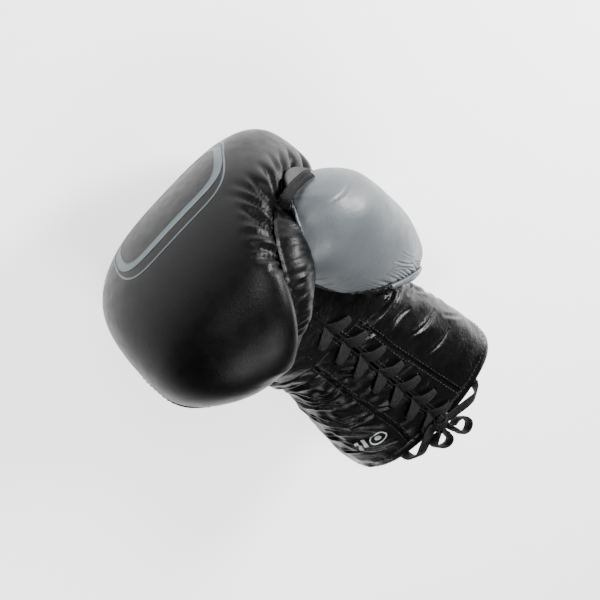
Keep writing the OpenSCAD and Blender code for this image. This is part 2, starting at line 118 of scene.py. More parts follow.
def cap_scale(s, end, cap):
    return np.sqrt(np.clip(1 - (np.maximum(0, s - end + cap) / cap) ** 2, 0, 1))


def body_point(table, s, q, end, cap):
    """Point of the glove's body at distance s along the finger line and angle q round it."""
    s, q = np.broadcast_arrays(np.asarray(s, float), np.asarray(q, float))
    k, c, r = row_at(table, s), cap_scale(s, end, cap), np.radians(q)
    cut = np.where(np.cos(r) > 0, k[..., 6] * (0.5 + 0.5 * np.sin(r)), 0)
    e = 2 / k[..., 5]
    x = k[..., 4] + k[..., 1] * c * (1 - cut) * signed_pow(np.cos(r), e)
    v = np.where(np.sin(r) > 0, k[..., 3], k[..., 2]) * c * signed_pow(np.sin(r), e)
    return curl(s, x, v)


def outer(s, q):
    return body_point(OUTER, s, q, OUTER_END, OUTER_CAP)


def soften(points, passes):
    """Evens out a grid of points, with its borders kept."""
    for _ in range(passes):
        middle = points[1:-1, 1:-1]
        mean = (points[:-2, 1:-1] + points[2:, 1:-1] + points[1:-1, :-2] + points[1:-1, 2:]) / 4
        points = points.copy()
        points[1:-1, 1:-1] = middle * 0.4 + mean * 0.6
    return points


def hand(s, q):
    """Point of the hand compartment that lies below outer(s, q)."""
    inside = np.where(np.asarray(s) < TURN_Y, s,
                      TURN_Y + (np.asarray(s) - TURN_Y) * (HAND_END - TURN_Y) / (OUTER_END - TURN_Y))
    return body_point(HAND, inside, q, HAND_END, HAND_CAP)


def clear_of_mitt(points, gap):
    """Pushes points of the thumb out of the mitt, by that much clearance."""
    p = np.asarray(points, float)
    dy, dz = p[..., 1] - TURN_Y, CURL_R - p[..., 2]
    bent = p[..., 1] > TURN_Y
    s = np.where(bent, TURN_Y + CURL_R * np.arctan2(dy, dz), p[..., 1])
    v = np.where(bent, CURL_R - np.hypot(dy, dz), p[..., 2])
    k = row_at(OUTER, s)
    dx = p[..., 0] - k[..., 4]
    depth = np.where(v > 0, k[..., 3], k[..., 2])
    z = (np.abs(v) / depth) ** k[..., 5]
    cut = np.zeros_like(dx)
    for _ in range(5):
        x = (np.abs(dx) / (k[..., 1] * (1 - cut))) ** k[..., 5]
        cut = np.where(dx > 0, k[..., 6] * (0.5 + 0.5 * np.sign(v) * np.sqrt(z / np.maximum(0.001, x + z))), 0)
    f = (np.abs(dx) / (k[..., 1] * (1 - cut))) ** k[..., 5] + z
    g = np.maximum(1, f ** (-1 / k[..., 5]) + gap / np.maximum(1, np.hypot(dx, v)))
    return np.where((g > 1)[..., None], curl(s, k[..., 4] + dx * g, v * g), p)


def thumb_point(table, s, q, gap):
    s, q = np.broadcast_arrays(np.asarray(s, float), np.asarray(q, float))
    k, r = row_at(table, s), np.radians(q)
    c = np.where(s < THUMB_BASE_CAP, np.sqrt(np.clip(1 - (1 - s / THUMB_BASE_CAP) ** 2, 0, 1)), 1)
    c = c * cap_scale(s, THUMB_L, THUMB_CAP)
    p = np.stack([k[..., 1] + k[..., 4] * c * np.cos(r), THUMB_Y + k[..., 2],
                  k[..., 3] + k[..., 5] * c * np.sin(r)], -1)
    return clear_of_mitt(p, gap)


def thumb_outer(s, q):
    return thumb_point(THUMB, s, q, THUMB_GAP)


def thumb_hand(s, q):
    return thumb_point(THUMB_HAND, s, q, THUMB_GAP + THUMB_WALL)


def q_at_x(s, x):
    """Angle on the palm side at which the section at s has that x."""
    k = row_at(OUTER, s)
    return np.degrees(np.arccos(np.clip(signed_pow((x - k[..., 4]) / k[..., 1], k[..., 5] / 2), -1, 1)))


# ---------------------------------------------------------------- meshes
def make(name, verts, faces, material, uv=None):
    """A smooth-shaded piece from points in millimetres, with a texture coordinate per point if given."""
    mesh = bpy.data.meshes.new(name)
    mesh.from_pydata((np.asarray(verts) * MM).tolist(), [], faces)
    mesh.polygons.foreach_set("use_smooth", [True] * len(mesh.polygons))
    mesh.materials.append(material)
    if uv is not None:
        loops = np.empty(len(mesh.loops), np.int32)
        mesh.loops.foreach_get("vertex_index", loops)
        mesh.uv_layers.new(name="UVMap").data.foreach_set("uv", uv[loops].ravel())
    mesh.update()
    piece = bpy.data.objects.new(name, mesh)
    bpy.context.scene.collection.objects.link(piece)
    return piece


def volume(verts, faces):
    a = verts[faces[:, 0]]
    return sum(float(np.einsum("ij,ij->i", a, np.cross(verts[faces[:, i]], verts[faces[:, i + 1]])).sum())
               for i in (1, 2))


def grid_faces(ids):
    return np.stack([ids[:-1, :-1], ids[1:, :-1], ids[1:, 1:], ids[:-1, 1:]], -1).reshape(-1, 4)


def closed(name, top, bottom, material, ring=False):
    """One closed piece between two grids of points; ring joins the first and last columns."""
    m, n = top.shape[:2]
    verts = np.concatenate([top.reshape(-1, 3), bottom.reshape(-1, 3)])
    ids = np.arange(m * n).reshape(m, n)
    if ring:
        ids = np.concatenate([ids, ids[:, :1]], 1)
    low = ids + m * n
    faces = [grid_faces(ids), grid_faces(low)[:, ::-1]]
    edges = [(ids[0], low[0], 1), (ids[-1], low[-1], 0)]
    if not ring:
        edges += [(ids[:, 0], low[:, 0], 0), (ids[:, -1], low[:, -1], 1)]
    for a, b, flip in edges:
        wall = np.stack([a[:-1], a[1:], b[1:], b[:-1]], -1)
        faces.append(wall[:, ::-1] if flip else wall)
    faces = np.concatenate(faces)
    if volume(verts, faces) < 0:
        faces = faces[:, ::-1]
    return make(name, verts, faces.tolist(), material)


def outward(points, centres):
    """Unit normals of a grid of points, away from the centres."""
    n = np.cross(np.gradient(points, axis=0), np.gradient(points, axis=1))
    n /= np.maximum(np.linalg.norm(n, axis=-1, keepdims=True), 1e-9)
    for row, near in ((0, 2), (-1, -3)):
        if np.linalg.norm(points[row] - points[row].mean(0), axis=-1).max() < 1.5:
            mean = n[near].mean(0)
            n[row] = mean / max(np.linalg.norm(mean), 1e-9)
    return n * (1 if np.einsum("ijk,ijk->", n, points - centres) > 0 else -1)


def lengths(points, axis):
    d = np.linalg.norm(np.diff(points, axis=axis), axis=-1)
    pad = [(0, 0), (0, 0)]
    pad[axis] = (1, 0)
    return np.cumsum(np.pad(d, pad), axis=axis)


def spread_s(s0, s1, count, end, cap):
    """Distances from s0 to s1 that crowd together where the form closes at its end."""
    def along(s):
        t = np.clip((s - end + cap) / cap, 0, 1)
        return np.minimum(s, end - cap) + cap * 1.25 * np.arcsin(t)
    fine = np.linspace(s0, s1, 4000)
    return np.interp(np.linspace(along(s0), along(s1), count), along(fine), fine)


class Panel:
    """A leather panel of the outer form: its displaced outside, its normals and its edge distances."""

    def __init__(self, s0, s1, q0, q1, relief, form=outer, end=OUTER_END, cap=OUTER_CAP, step=STEP, drop=1.5,
                 edges="0011", warp=None, passes=0):
        mid = (s0 + s1) / 2
        q_low, q_high = (q if callable(q) else (lambda s, q=q: np.full(np.shape(s), float(q)))
                         for q in (q0, q1))
        rows = max(8, int(1.25 * (s1 - s0) / step))
        s = spread_s(s0, s1 - (0.02 if s1 >= end else 0), rows, end, cap)[:, None]
        middle = form(mid, np.linspace(float(q_low(np.array(mid))), float(q_high(np.array(mid))), 60))
        columns = max(8, int(np.linalg.norm(np.diff(middle, axis=0), axis=-1).sum() / step))
        v = np.linspace(0, 1, 500)[None]
        fine_q = q_low(s) * (1 - v) + q_high(s) * v
        fine_s = np.broadcast_to(s, fine_q.shape) if warp is None else warp(s, fine_q)
        near_end = np.minimum(fine_s, end - 6)
        run = lengths(form(near_end, fine_q), 1)
        even = run[:, -1:] * np.linspace(0, 1, columns)[None]
        self.q = np.array([np.interp(e, r, f) for e, r, f in zip(even, run, fine_q)])
        self.s = np.broadcast_to(s, self.q.shape) if warp is None else warp(s, self.q)
        self.base = base = soften(form(self.s, self.q), passes)
        centre = form(self.s, self.q + 180) * 0.5 + base * 0.5
        self.base_normal = outward(base, centre)
        across, along = lengths(base, 1), lengths(base, 0)
        self.d = [along, along[-1:] - along, across, across[:, -1:] - across]
        lift = relief(self)
        for i, on in enumerate(edges):
            if on == "1":
                lift = lift - drop * np.exp(-(self.d[i] / 1.8) ** 2)
        self.top = base + self.base_normal * lift[..., None]
        self.normal = outward(self.top, centre)

    def edge(self):
        return np.minimum(self.d[2], self.d[3])

    def build(self, name, material, thickness):
        return closed(name, self.top, self.top - self.base_normal * thickness, material)

    def line(self, side, inset, start=0.0, stop=1.0):
        """Points and normals along one long edge, that far in from it."""
        d = self.d[2 if side == 0 else 3]
        rows = np.arange(int(start * len(self.top)), int(stop * len(self.top)))
        at = np.abs(d[rows] - inset).argmin(1)
        return self.top[rows, at], self.normal[rows, at]


def smooth_noise(x, seed, wave):
    """Repeatable smooth noise of one variable, from about -1 to 1."""
    r = np.random.default_rng(seed)
    a, f, p = r.uniform(0.4, 1, 5), r.uniform(0.6, 2.2, 5) / wave, r.uniform(0, 6.3, 5)
    return sum(ai * np.sin(6.283 * fi * x + pi) for ai, fi, pi in zip(a, f, p)) / a.sum() * 1.4


def fold(panel, s0, q0, s1, q1, width, depth, bend=0.0):
    """A crease between two places on the panel, with raised lips beside it."""
    scale = 0.95
    x, y = panel.s, panel.q * scale
    ax, ay, bx, by = s0, q0 * scale, s1, q1 * scale
    dx, dy = bx - ax, by - ay
    t = ((x - ax) * dx + (y - ay) * dy) / (dx * dx + dy * dy)
    tc = np.clip(t, 0, 1)
    off = ((x - ax) * dy - (y - ay) * dx) / math.hypot(dx, dy) + bend * np.sin(math.pi * tc)
    d = np.hypot(off, (t - tc) * math.hypot(dx, dy))
    taper = np.sin(math.pi * np.clip(tc, 0.04, 0.96)) ** 0.6
    return taper * depth * (0.55 * np.exp(-((d - 1.9 * width) / (1.1 * width)) ** 2) - np.exp(-(d / width) ** 2))


def folds(panel, rows):
    return sum((fold(panel, *r) for r in rows), np.zeros(panel.s.shape))


def ripple(panel, size, height, seed):
    """Soft uneven waves of worn leather."""
    r = np.random.default_rng(seed)
    out = np.zeros(panel.s.shape)
    for _ in range(14):
        a, f, p = r.uniform(0, math.pi), r.uniform(0.7, 1.6) / size, r.uniform(0, 6.3)
        out += np.sin(6.283 * f * (panel.s * math.cos(a) + panel.q * 0.95 * math.sin(a)) + p)
    return out / 14 * height * 2


def resample(points, step):
    """Points a step apart on a smooth line through the given ones, with the same columns."""
    p = np.asarray(points, float)
    ext = np.vstack([2 * p[0] - p[1], p, 2 * p[-1] - p[-2]])
    fine = []
    for i in range(1, len(ext) - 2):
        t = np.linspace(0, 1, 40, endpoint=False)[:, None]
        a, b, c, d = ext[i - 1], ext[i], ext[i + 1], ext[i + 2]
        fine.append(0.5 * (2 * b + (c - a) * t + (2 * a - 5 * b + 4 * c - d) * t * t
                           + (3 * b - a - 3 * c + d) * t ** 3))
    fine = np.vstack(fine + [p[-1:]])
    run = np.concatenate([[0], np.cumsum(np.linalg.norm(np.diff(fine[:, :3], axis=0), axis=1))])
    at = np.linspace(0, run[-1], max(4, int(run[-1] / step) + 1))
    return np.stack([np.interp(at, run, fine[:, k]) for k in range(p.shape[1])], 1)


def ribbon_mesh(rows, thickness, ribs, sides=36):
    """Swept flat braid. Each row is x, y, z, then the face's normal, then the width."""
    path, up, width = rows[:, :3], rows[:, 3:6], rows[:, 6]
    t = np.gradient(path, axis=0)
    t /= np.linalg.norm(t, axis=1, keepdims=True)
    x = np.cross(t, up)
    x /= np.maximum(np.linalg.norm(x, axis=1, keepdims=True), 1e-6)
    z = np.cross(x, t)
    a = np.linspace(0, 2 * math.pi, sides, endpoint=False)
    px, pz = signed_pow(np.cos(a), 0.8), signed_pow(np.sin(a), 0.7)
    rib = 1 - 0.3 * np.cos(px * math.pi * ribs) ** 2 if ribs else np.ones(sides)
    across = (px[None] * width[:, None] / 2)[..., None] * x[:, None]
    through = np.broadcast_to((pz * rib * thickness / 2)[None, :, None], across.shape[:2] + (1,)) * z[:, None]
    verts = path[:, None] + across + through
    m = len(path)
    ids = np.arange(m * sides).reshape(m, sides)
    ids = np.concatenate([ids, ids[:, :1]], 1)
    run = np.concatenate([[0], np.cumsum(np.linalg.norm(np.diff(path, axis=0), axis=1))])
    uv = np.stack([np.repeat(run / 10, sides), np.tile((px + 1) / 2, m)], 1)
    faces = grid_faces(ids).tolist()
    ends = [list(range(sides)), list(range(m * sides - 1, (m - 1) * sides - 1, -1))]
    return verts.reshape(-1, 3), faces, ends, uv


def swept(name, rows, thickness, material, ribs=6, sides=36):
    verts, faces, ends, uv = ribbon_mesh(rows, thickness, ribs, sides)
    quads = np.array(faces)
    if volume(verts, quads) < 0:
        faces = quads[:, ::-1].tolist()
        ends = [e[::-1] for e in ends]
    return make(name, verts, faces + [e[::-1] for e in ends], material, uv)


# Rings of one thread: place along it, share of its radius, height above the leather
THREAD_RINGS = ((-0.5, 0.35, -0.35), (-0.3, 0.9, 0.08), (0.0, 1.0, 0.18), (0.3, 0.9, 0.08), (0.5, 0.35, -0.35))


def stitches(name, lines, material, pitch=3.4, length=2.3, radius=0.3):
    """Rows of short threads that lie on the leather, sunk at both ends."""
    verts, faces = [], []
    for points, normal in lines:
        both = resample(np.hstack([points, normal]), pitch)
        p, n = both[:, :3], both[:, 3:]
        n /= np.linalg.norm(n, axis=1, keepdims=True)
        t = np.gradient(p, axis=0)
        t /= np.maximum(np.linalg.norm(t, axis=1, keepdims=True), 1e-9)
        side = np.cross(n, t)
        for i in range(len(p)):
            start = len(verts)
            for u, r, h in THREAD_RINGS:
                for k in range(6):
                    a = math.pi / 3 * k
                    verts.append(p[i] + t[i] * u * length + n[i] * (h + radius * r * math.sin(a))
                                 + side[i] * radius * r * math.cos(a))
            for ring in range(4):
                for k in range(6):
                    a, b = start + ring * 6 + k, start + ring * 6 + (k + 1) % 6
                    faces.append([a, b, b + 6, a + 6])
            faces.append([start + 5 - k for k in range(6)])
            faces.append([start + 24 + k for k in range(6)])
    return make(name, verts, faces, material)


# ---------------------------------------------------------------- materials
class Shader:
    def __init__(self, name, colour, roughness, **inputs):
        self.material = bpy.data.materials.new(name)
        self.material.use_nodes = True
        self.nodes, self.links = self.material.node_tree.nodes, self.material.node_tree.links
        self.bsdf = self.nodes["Principled BSDF"]
        self.bsdf.inputs["Base Color"].default_value = (*colour, 1)
        self.bsdf.inputs["Roughness"].default_value = roughness
        for key, value in inputs.items():
            self.bsdf.inputs[key.replace("_", " ")].default_value = value
        self.coords = self.nodes.new("ShaderNodeTexCoord")
        self.height = None

    def texture(self, kind, scale, uv=False, **settings):
        node = self.nodes.new(kind)
        for key, value in settings.items():
            if key in node.inputs:
                node.inputs[key].default_value = value
            else:
                setattr(node, key, value)
        node.inputs["Scale"].default_value = scale
        self.links.new(self.coords.outputs["UV" if uv else "Object"], node.inputs["Vector"])
        return node.outputs["Distance"] if kind == "ShaderNodeTexVoronoi" else node.outputs[0]

    def math(self, operation, a, b):
        node = self.nodes.new("ShaderNodeMath")
        node.operation = operation
        for socket, value in zip(node.inputs, (a, b)):
            if isinstance(value, (int, float)):
                socket.default_value = value
            else:
                self.links.new(value, socket)
        return node.outputs[0]

    def bump(self, height, strength, distance):
        node = self.nodes.new("ShaderNodeBump")
        node.inputs["Strength"].default_value = strength
        node.inputs["Distance"].default_value = distance
        self.links.new(height, node.inputs["Height"])
        if self.height:
            self.links.new(self.height, node.inputs["Normal"])
        self.height = node.outputs[0]
        self.links.new(self.height, self.bsdf.inputs["Normal"])

    def vary(self, socket, value, low, high):
        node = self.nodes.new("ShaderNodeValToRGB")
        for stop, at, tone in zip(node.color_ramp.elements, (0.3, 0.7), (low, high)):
            stop.position = at
            stop.color = (*tone, 1) if isinstance(tone, tuple) else (tone, tone, tone, 1)
        self.links.new(value, node.inputs[0])
        self.links.new(node.outputs[0], self.bsdf.inputs[socket])


def leather(name, colour, light, roughness, grain=0.35, crinkle=0.0, **inputs):
    sh = Shader(name, colour, roughness, **inputs)
    patch = sh.texture("ShaderNodeTexNoise", 60, Detail=4.0)
    sh.vary("Base Color", patch, colour, light)
    sh.vary("Roughness", sh.texture("ShaderNodeTexNoise", 160, Detail=6.0), roughness - 0.05, roughness + 0.08)
    pores = sh.texture("ShaderNodeTexVoronoi", 1300)
    fine = sh.texture("ShaderNodeTexNoise", 2300, Detail=3.0)
    sh.bump(sh.math("ADD", pores, fine), grain, 0.00025)
    if crinkle:
        sh.bump(sh.texture("ShaderNodeTexNoise", 210, Detail=5.0, Distortion=1.2), crinkle, 0.0012)
    return sh.material


def woven(name, colour, light, scale, roughness=0.85, **inputs):
    sh = Shader(name, colour, roughness, **inputs)
    a = sh.texture("ShaderNodeTexWave", scale, bands_direction="X", Distortion=0.4)
    b = sh.texture("ShaderNodeTexWave", scale, bands_direction="Y", Distortion=0.4)
    c = sh.texture("ShaderNodeTexWave", scale, bands_direction="Z", Distortion=0.4)
    weave = sh.math("ADD", sh.math("MULTIPLY", a, b), c)
    sh.vary("Base Color", sh.texture("ShaderNodeTexNoise", 900, Detail=2.0), colour, light)
    sh.bump(weave, 0.6, 0.0004)
    return sh.material


def braid(name, colour, light):
    sh = Shader(name, colour, 0.6, Specular_IOR_Level=0.32)
    a = sh.texture("ShaderNodeTexWave", 8.0, uv=True, bands_direction="DIAGONAL", Distortion=0.2)
    b = sh.texture("ShaderNodeTexWave", 13.0, uv=True, bands_direction="X", Distortion=0.3)
    weave = sh.math("MULTIPLY", a, b)
    # Base colour follows the weave's relief: painted shade in its hollows and a painted sheen on its ridges
    sh.vary("Base Color", weave, colour, light)
    sh.bump(weave, 0.8, 0.0006)
    sh.bump(sh.texture("ShaderNodeTexNoise", 3500, Detail=2.0), 0.4, 0.0003)
    return sh.material


BLACK = leather("black_leather_satin", (0.0016, 0.0016, 0.0018), (0.0026, 0.0026, 0.0028),
                0.36, 0.3, Specular_IOR_Level=0.14)
CUFF_BLACK = leather("black_leather_soft", (0.0016, 0.0016, 0.0018), (0.0028, 0.0028, 0.003),
                     0.31, 0.3, 0.35, Specular_IOR_Level=0.22)
GLOSSY = leather("black_leather_glossy", (0.0014, 0.0014, 0.0016), (0.0024, 0.0024, 0.0026),
                 0.18, 0.25, 0.9, Specular_IOR_Level=0.5)
GREY = leather("blue_grey_leather", (0.068, 0.078, 0.086), (0.080, 0.090, 0.098), 0.42, 0.22, 0.1)
FOAM = Shader("foam_padding", (0.62, 0.55, 0.42), 0.9)
FOAM.vary("Base Color", FOAM.texture("ShaderNodeTexNoise", 350, Detail=5.0), (0.56, 0.49, 0.37), (0.68, 0.61, 0.48))
FOAM.bump(FOAM.texture("ShaderNodeTexVoronoi", 900), 0.5, 0.0006)
FOAM = FOAM.material
LINING = woven("lining_cloth", (0.10, 0.105, 0.11), (0.15, 0.155, 0.16), 900)
# Lace tones: the darker one is painted shade in the weave's hollows, the lighter one a painted sheen on its ridges
LACE = braid("lace_braid", (0.0012, 0.0012, 0.0013), (0.0050, 0.0050, 0.0052))
TAPE = woven("edge_tape", (0.0018, 0.0018, 0.0019), (0.0042, 0.0042, 0.0044), 1500, 0.5, Specular_IOR_Level=0.16)
THREAD = Shader("stitch_thread", (0.006, 0.006, 0.0063), 0.5)
THREAD.bump(THREAD.texture("ShaderNodeTexWave", 2200, bands_direction="DIAGONAL"), 0.4, 0.0002)
THREAD = THREAD.material
TIP = Shader("lace_tip_plastic", (0.012, 0.012, 0.013), 0.22)
TIP.bump(TIP.texture("ShaderNodeTexNoise", 500, Detail=2.0), 0.15, 0.0002)
TIP = TIP.material
PRINT_BLUE = leather("print_blue_grey", (0.034, 0.052, 0.063), (0.041, 0.061, 0.072), 0.42, 0.25)
PRINT_WHITE = leather("print_white", (0.40, 0.41, 0.42), (0.47, 0.48, 0.49), 0.45, 0.2)

# ---------------------------------------------------------------- camera
AZ, EL, ROLL = math.radians(5), math.radians(45), math.radians(-50)
TARGET, FAR = Vector((0, 0.152, 0.010)), 0.9
toward = Vector((math.sin(AZ) * math.cos(EL), math.sin(EL), math.cos(AZ) * math.cos(EL)))
up = (Vector((0, 1, 0)) - toward * toward.y).normalized()
right = up.cross(toward)
image_x = right * math.cos(ROLL) + up * math.sin(ROLL)
image_y = up * math.cos(ROLL) - right * math.sin(ROLL)
camera_data = bpy.data.cameras.new("camera")
camera_data.sensor_width, camera_data.lens = 36, 85.8
camera_data.shift_x, camera_data.shift_y = -8 / 600, 6 / 600
camera = bpy.data.objects.new("camera", camera_data)
turned = Matrix((image_x, image_y, toward)).transposed().to_4x4()
camera.matrix_world = Matrix.Translation(TARGET + toward * FAR) @ turned
bpy.context.scene.collection.objects.link(camera)
bpy.context.scene.camera = camera

# ---------------------------------------------------------------- the bow's free laces
LACE_W, LACE_T = 8.0, 1.5
BOW = np.array([0, 9, MOUTH_D / 2 + 7.5])
LOOP_OUTER_SIDE = np.array([
    [-5, -5, 2], [-10, -7, 1], [-15, -10, 1], [-14, -14, 2], [-9, -16, 4], [-4, -14, 4], [-3, -9, 2]])
LOOP_THUMB_SIDE = np.array([
    [4, -7, 3], [9, -9, 1], [13, -13, 1], [13, -18, 3], [8, -20, 5], [4, -17, 6], [3, -12, 5]])
TAIL_THUMB_SIDE = np.array([
    [8, -4, -1], [15, -7, -2], [22, -10, -3], [28, -13, -5], [33, -15, -10], [35, -15, -16]])
TAIL_OUTER_SIDE = np.array([
    [-8, 1, -1], [-15, -3, -1], [-21, -8, -2], [-27, -13, -4], [-33, -15, -9], [-35, -15, -15]])
TIP_L, TIP_T = 14.0, 2.6
TIP_WIDTHS = ((-1.5, 7.4), (0.5, 4.4), (2.0, 3.6), (TIP_L - 1.0, 3.5), (TIP_L - 0.2, 3.0), (TIP_L, 1.8))
BOW_T = LACE_T * 1.5
loop_axis = np.array((toward + image_x * 0.75).normalized())


def free_lace(name, loop, tail, side):
    centre = loop.mean(0)
    rows = []
    for p in loop:
        out = p - centre
        out = out - loop_axis * (out @ loop_axis)
        rows.append([*(BOW + p), *(out / np.linalg.norm(out)), LACE_W])
    rows.append([*(BOW + [side * 1.0, -3, 1]), 0, -0.6, 0.8, LACE_W * 0.6])
    rows.append([*(BOW + [side * 4.5, -1, 0]), 0, 0.2, 1, LACE_W * 0.7])
    for i, p in enumerate(tail):
        late = min(1, max(0, (i - 2) / 3))
        rows.append([*(BOW + p), 0.5 * late * side, -0.7 * late, 1 - late, LACE_W])
    rows = resample(rows, 0.7)
    piece = swept(name, rows, BOW_T, LACE, ribs=7)
    direction = (tail[-1] - tail[-2]) / np.linalg.norm(tail[-1] - tail[-2])
    end = BOW + tail[-1]
    tip_rows = np.array([[*(end + direction * d), 0, -1, 0, w] for d, w in TIP_WIDTHS])
    tip = swept(name.replace("bow_lace", "tail_tip"), tip_rows, TIP_T, TIP, ribs=0, sides=20)
    for o in (piece, tip):
        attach(o, "cuff")
    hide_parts(*(f"{n}_{name[9:]}" for n in ("bow_loop", "lace_tail")))
    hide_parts(f"lace_tip_{name[9:]}")


free_lace("bow_lace_thumb_side", LOOP_THUMB_SIDE, TAIL_THUMB_SIDE, 1)
free_lace("bow_lace_outer_side", LOOP_OUTER_SIDE, TAIL_OUTER_SIDE, -1)


def wrap_ring(name, centre, axis, radii, width, material):
    """A short band of lace that goes once round."""
    axis = np.array(axis, float) / np.linalg.norm(axis)
    a = np.cross(axis, [0, 0, 1.0])
    a /= np.linalg.norm(a)
    b = np.cross(axis, a)
    rows = []
    for t in np.linspace(0, 2 * math.pi, 60):
        out = a * math.cos(t) * radii[0] + b * math.sin(t) * radii[1]
        rows.append([*(centre + out), *(out / np.linalg.norm(out)), width])
    return swept(name, np.array(rows), LACE_T, material, ribs=7)


knot = wrap_ring("bow_knot_wrap", BOW + [0, -1, -0.5], (0.25, 1, 0.15), (4.6, 3.2), 8.5, LACE)
under = wrap_ring("bow_knot_core", BOW + [0, -1, -0.9], (1, 0.25, -0.1), (4.2, 2.4), 10.5, LACE)
for o in (knot, under):
    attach(o, "cuff")
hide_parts("bow_knot")

# ---------------------------------------------------------------- leather panels
PALM_TOP = 181.0


def seam_thumb_side(s):
    return q_at_x(s, np.interp(s, [0, 88, 181, 200], [25, 17, 14, 14]))


def seam_outer_side(s):
    return q_at_x(s, -np.interp(s, [0, 30, 94, 154, 181], [25, 22, 25, 24, 22]))


def flap_edge(side):
    return lambda s: q_at_x(s, side * np.interp(s, [0, 60, 150, 176, 181], [1.6, 1.2, 1.8, 2.2, 1.5]))


def puff(panel, height, reach=14.0):
    return height * (1 - np.exp(-panel.edge() / reach))


GATHER_SEAM = np.array([
    [110, 341], [150, 345], [200, 356], [225, 362], [243, 361], [251, 357], [258, 351], [265, 343],
    [270, 334], [275, 325], [281, 319], [288, 317], [300, 316], [316, 314], [330, 314]], float)
# Each crease from where it fades out to the seam: distance and angle, then distance and angle
GATHERS = np.array([
    [227.9, 345.2, 247.1, 358.8], [240.8, 342.8, 257.4, 353.8], [246.6, 337.0, 264.0, 346.4],
    [251.9, 327.2, 267.9, 338.4], [257.4, 317.6, 270.5, 333.0], [260.3, 307.0, 273.2, 328.4],
    [259.8, 294.6, 275.5, 324.8], [262.2, 290.4, 277.5, 322.4], [267.9, 295.0, 279.5, 320.8],
    [271.9, 293.6, 281.5, 319.0], [275.6, 291.2, 283.5, 318.8], [279.3, 291.0, 285.5, 318.2],
    [283.2, 291.2, 287.5, 317.4], [287.4, 296.8, 289.5, 317.6], [290.9, 305.0, 292.0, 318.0]])


def gather_q(s):
    fine = np.linspace(110, 330, 400)
    smooth = np.convolve(np.pad(np.interp(fine, *GATHER_SEAM.T), 12, mode="edge"), np.ones(25) / 25, "valid")
    return np.interp(s, fine, smooth)


seam_s = np.linspace(206, 315, 220)
seam_points = outer(seam_s, gather_q(seam_s))
seam_run = np.concatenate([[0], np.cumsum(np.linalg.norm(np.diff(seam_points, axis=0), axis=1))])
seam_tangent = np.gradient(seam_points, axis=0)
seam_tangent /= np.linalg.norm(seam_tangent, axis=1, keepdims=True)


def from_seam(points):
    """Distance from the gathered seam, place along it, and how fully gathered it is there."""
    flat = points.reshape(-1, 3)
    far, at = np.empty(len(flat)), np.empty(len(flat))
    for i in range(0, len(flat), 4000):
        part = flat[i:i + 4000]
        k = np.linalg.norm(part[:, None] - seam_points[None], axis=-1).argmin(1)
        beside = np.einsum("ij,ij->i", part - seam_points[k], seam_tangent[k])
        beside = np.where((k == 0) | (k == len(seam_run) - 1), 0, np.clip(beside, -0.6, 0.6))
        far[i:i + 4000] = np.linalg.norm(part - seam_points[k] - beside[:, None] * seam_tangent[k], axis=1)
        at[i:i + 4000] = seam_run[k] + beside
    far, at = far.reshape(points.shape[:2]), at.reshape(points.shape[:2])
    full = np.clip(at / 16, 0, 1) * np.clip((seam_run[-1] - at) / 8, 0, 1)
    return far, at, full


def gathered(p, height, length, dive, dive_reach):
    """Puffs of leather drawn into the seam, higher near it."""
    d, at, full = from_seam(p.base)
    phase = at / 5.8 + 0.5 * smooth_noise(at, 3, 30) + 0.12 * smooth_noise(d + 0.3 * at, 4, 30)
    number = np.floor(phase)
    ridge = np.abs(np.sin(math.pi * phase)) ** 0.7
    tall = 0.8 + 0.35 * np.sin(number * 2.4 + 0.7) * np.cos(number * 1.3)
    reach = length * (1 + 0.35 * np.sin(number * 1.9 + 1.1))
    rise = np.clip(d / 13 + 0.2, 0, 1)
    puffs = height * rise * (tall * ridge * np.exp(-(d / reach) ** 1.7) - 0.6 * np.exp(-(d / length) ** 1.7))
    return full * (puffs - dive * np.exp(-(d / dive_reach) ** 2))


def drawn_in(p, rows, width, depth):
    """Creases drawn into a seam, narrow and deep there and wide where they fade out, with full puffs between."""
    nearest = np.full(p.s.shape, 1e9)
    crease = np.zeros(p.s.shape)
    for i, (s0, q0, s1, q1) in enumerate(rows):
        a, b = outer(s0, q0), outer(s1, q1)
        run = float(np.linalg.norm(b - a))
        t = ((p.base - a) @ (b - a)) / run ** 2
        tc = np.clip(t, 0, 1)
        bow = 1.6 * math.sin(2.1 * i + 0.5) * np.sin(math.pi * tc)
        across = np.cross(p.base - a, (b - a) / run)
        off = np.einsum("ijk,ijk->ij", across, p.base_normal) + bow
        d = np.hypot(off, (t - tc) * run)
        wide = width * (1.9 - 1.1 * tc)
        taper = np.clip(tc / 0.55, 0, 1) ** 1.2 * (0.85 + 0.3 * math.sin(1.7 * i))
        crease = np.minimum(crease, -depth * taper * np.exp(-(d / wide) ** 2))
        nearest = np.minimum(nearest, d + 4.0 * (1 - taper))
    return crease, nearest


def fist_relief(p):
    """Gathers that run into the thumb-side seam, over a smooth padded face."""
    d, _, full = from_seam(p.base)
    crease, nearest = drawn_in(p, GATHERS, 1.5, 3.6)
    region = full * np.exp(-(d / 27) ** 4)
    puffs = 2.6 * region * (1 - np.exp(-(nearest / 3.2) ** 2))
    dive = 7.0 * full * np.exp(-(d / 7.0) ** 2)
    return crease + puffs - dive + ripple(p, 60, 0.25, 5) + 0.4 * puff(p, 1.0)


def thumb_wall_relief(p):
    return gathered(p, 3.0, 16, 5.5, 9.0) + 0.5 * puff(p, 1.0) + ripple(p, 30, 0.3, 8)


def side_relief(p):
    return puff(p, 1.2, 8) + ripple(p, 30, 0.35, 8)


def heel_crease(p, depth=2.0):
    """The soft crease across the wrist."""
    centre = 122 + 5 * smooth_noise(p.q, 9, 60)
    return -depth * np.exp(-((p.s - centre) / 2.6) ** 2) + 0.6 * depth * np.exp(-((p.s - centre + 7) / 5) ** 2)


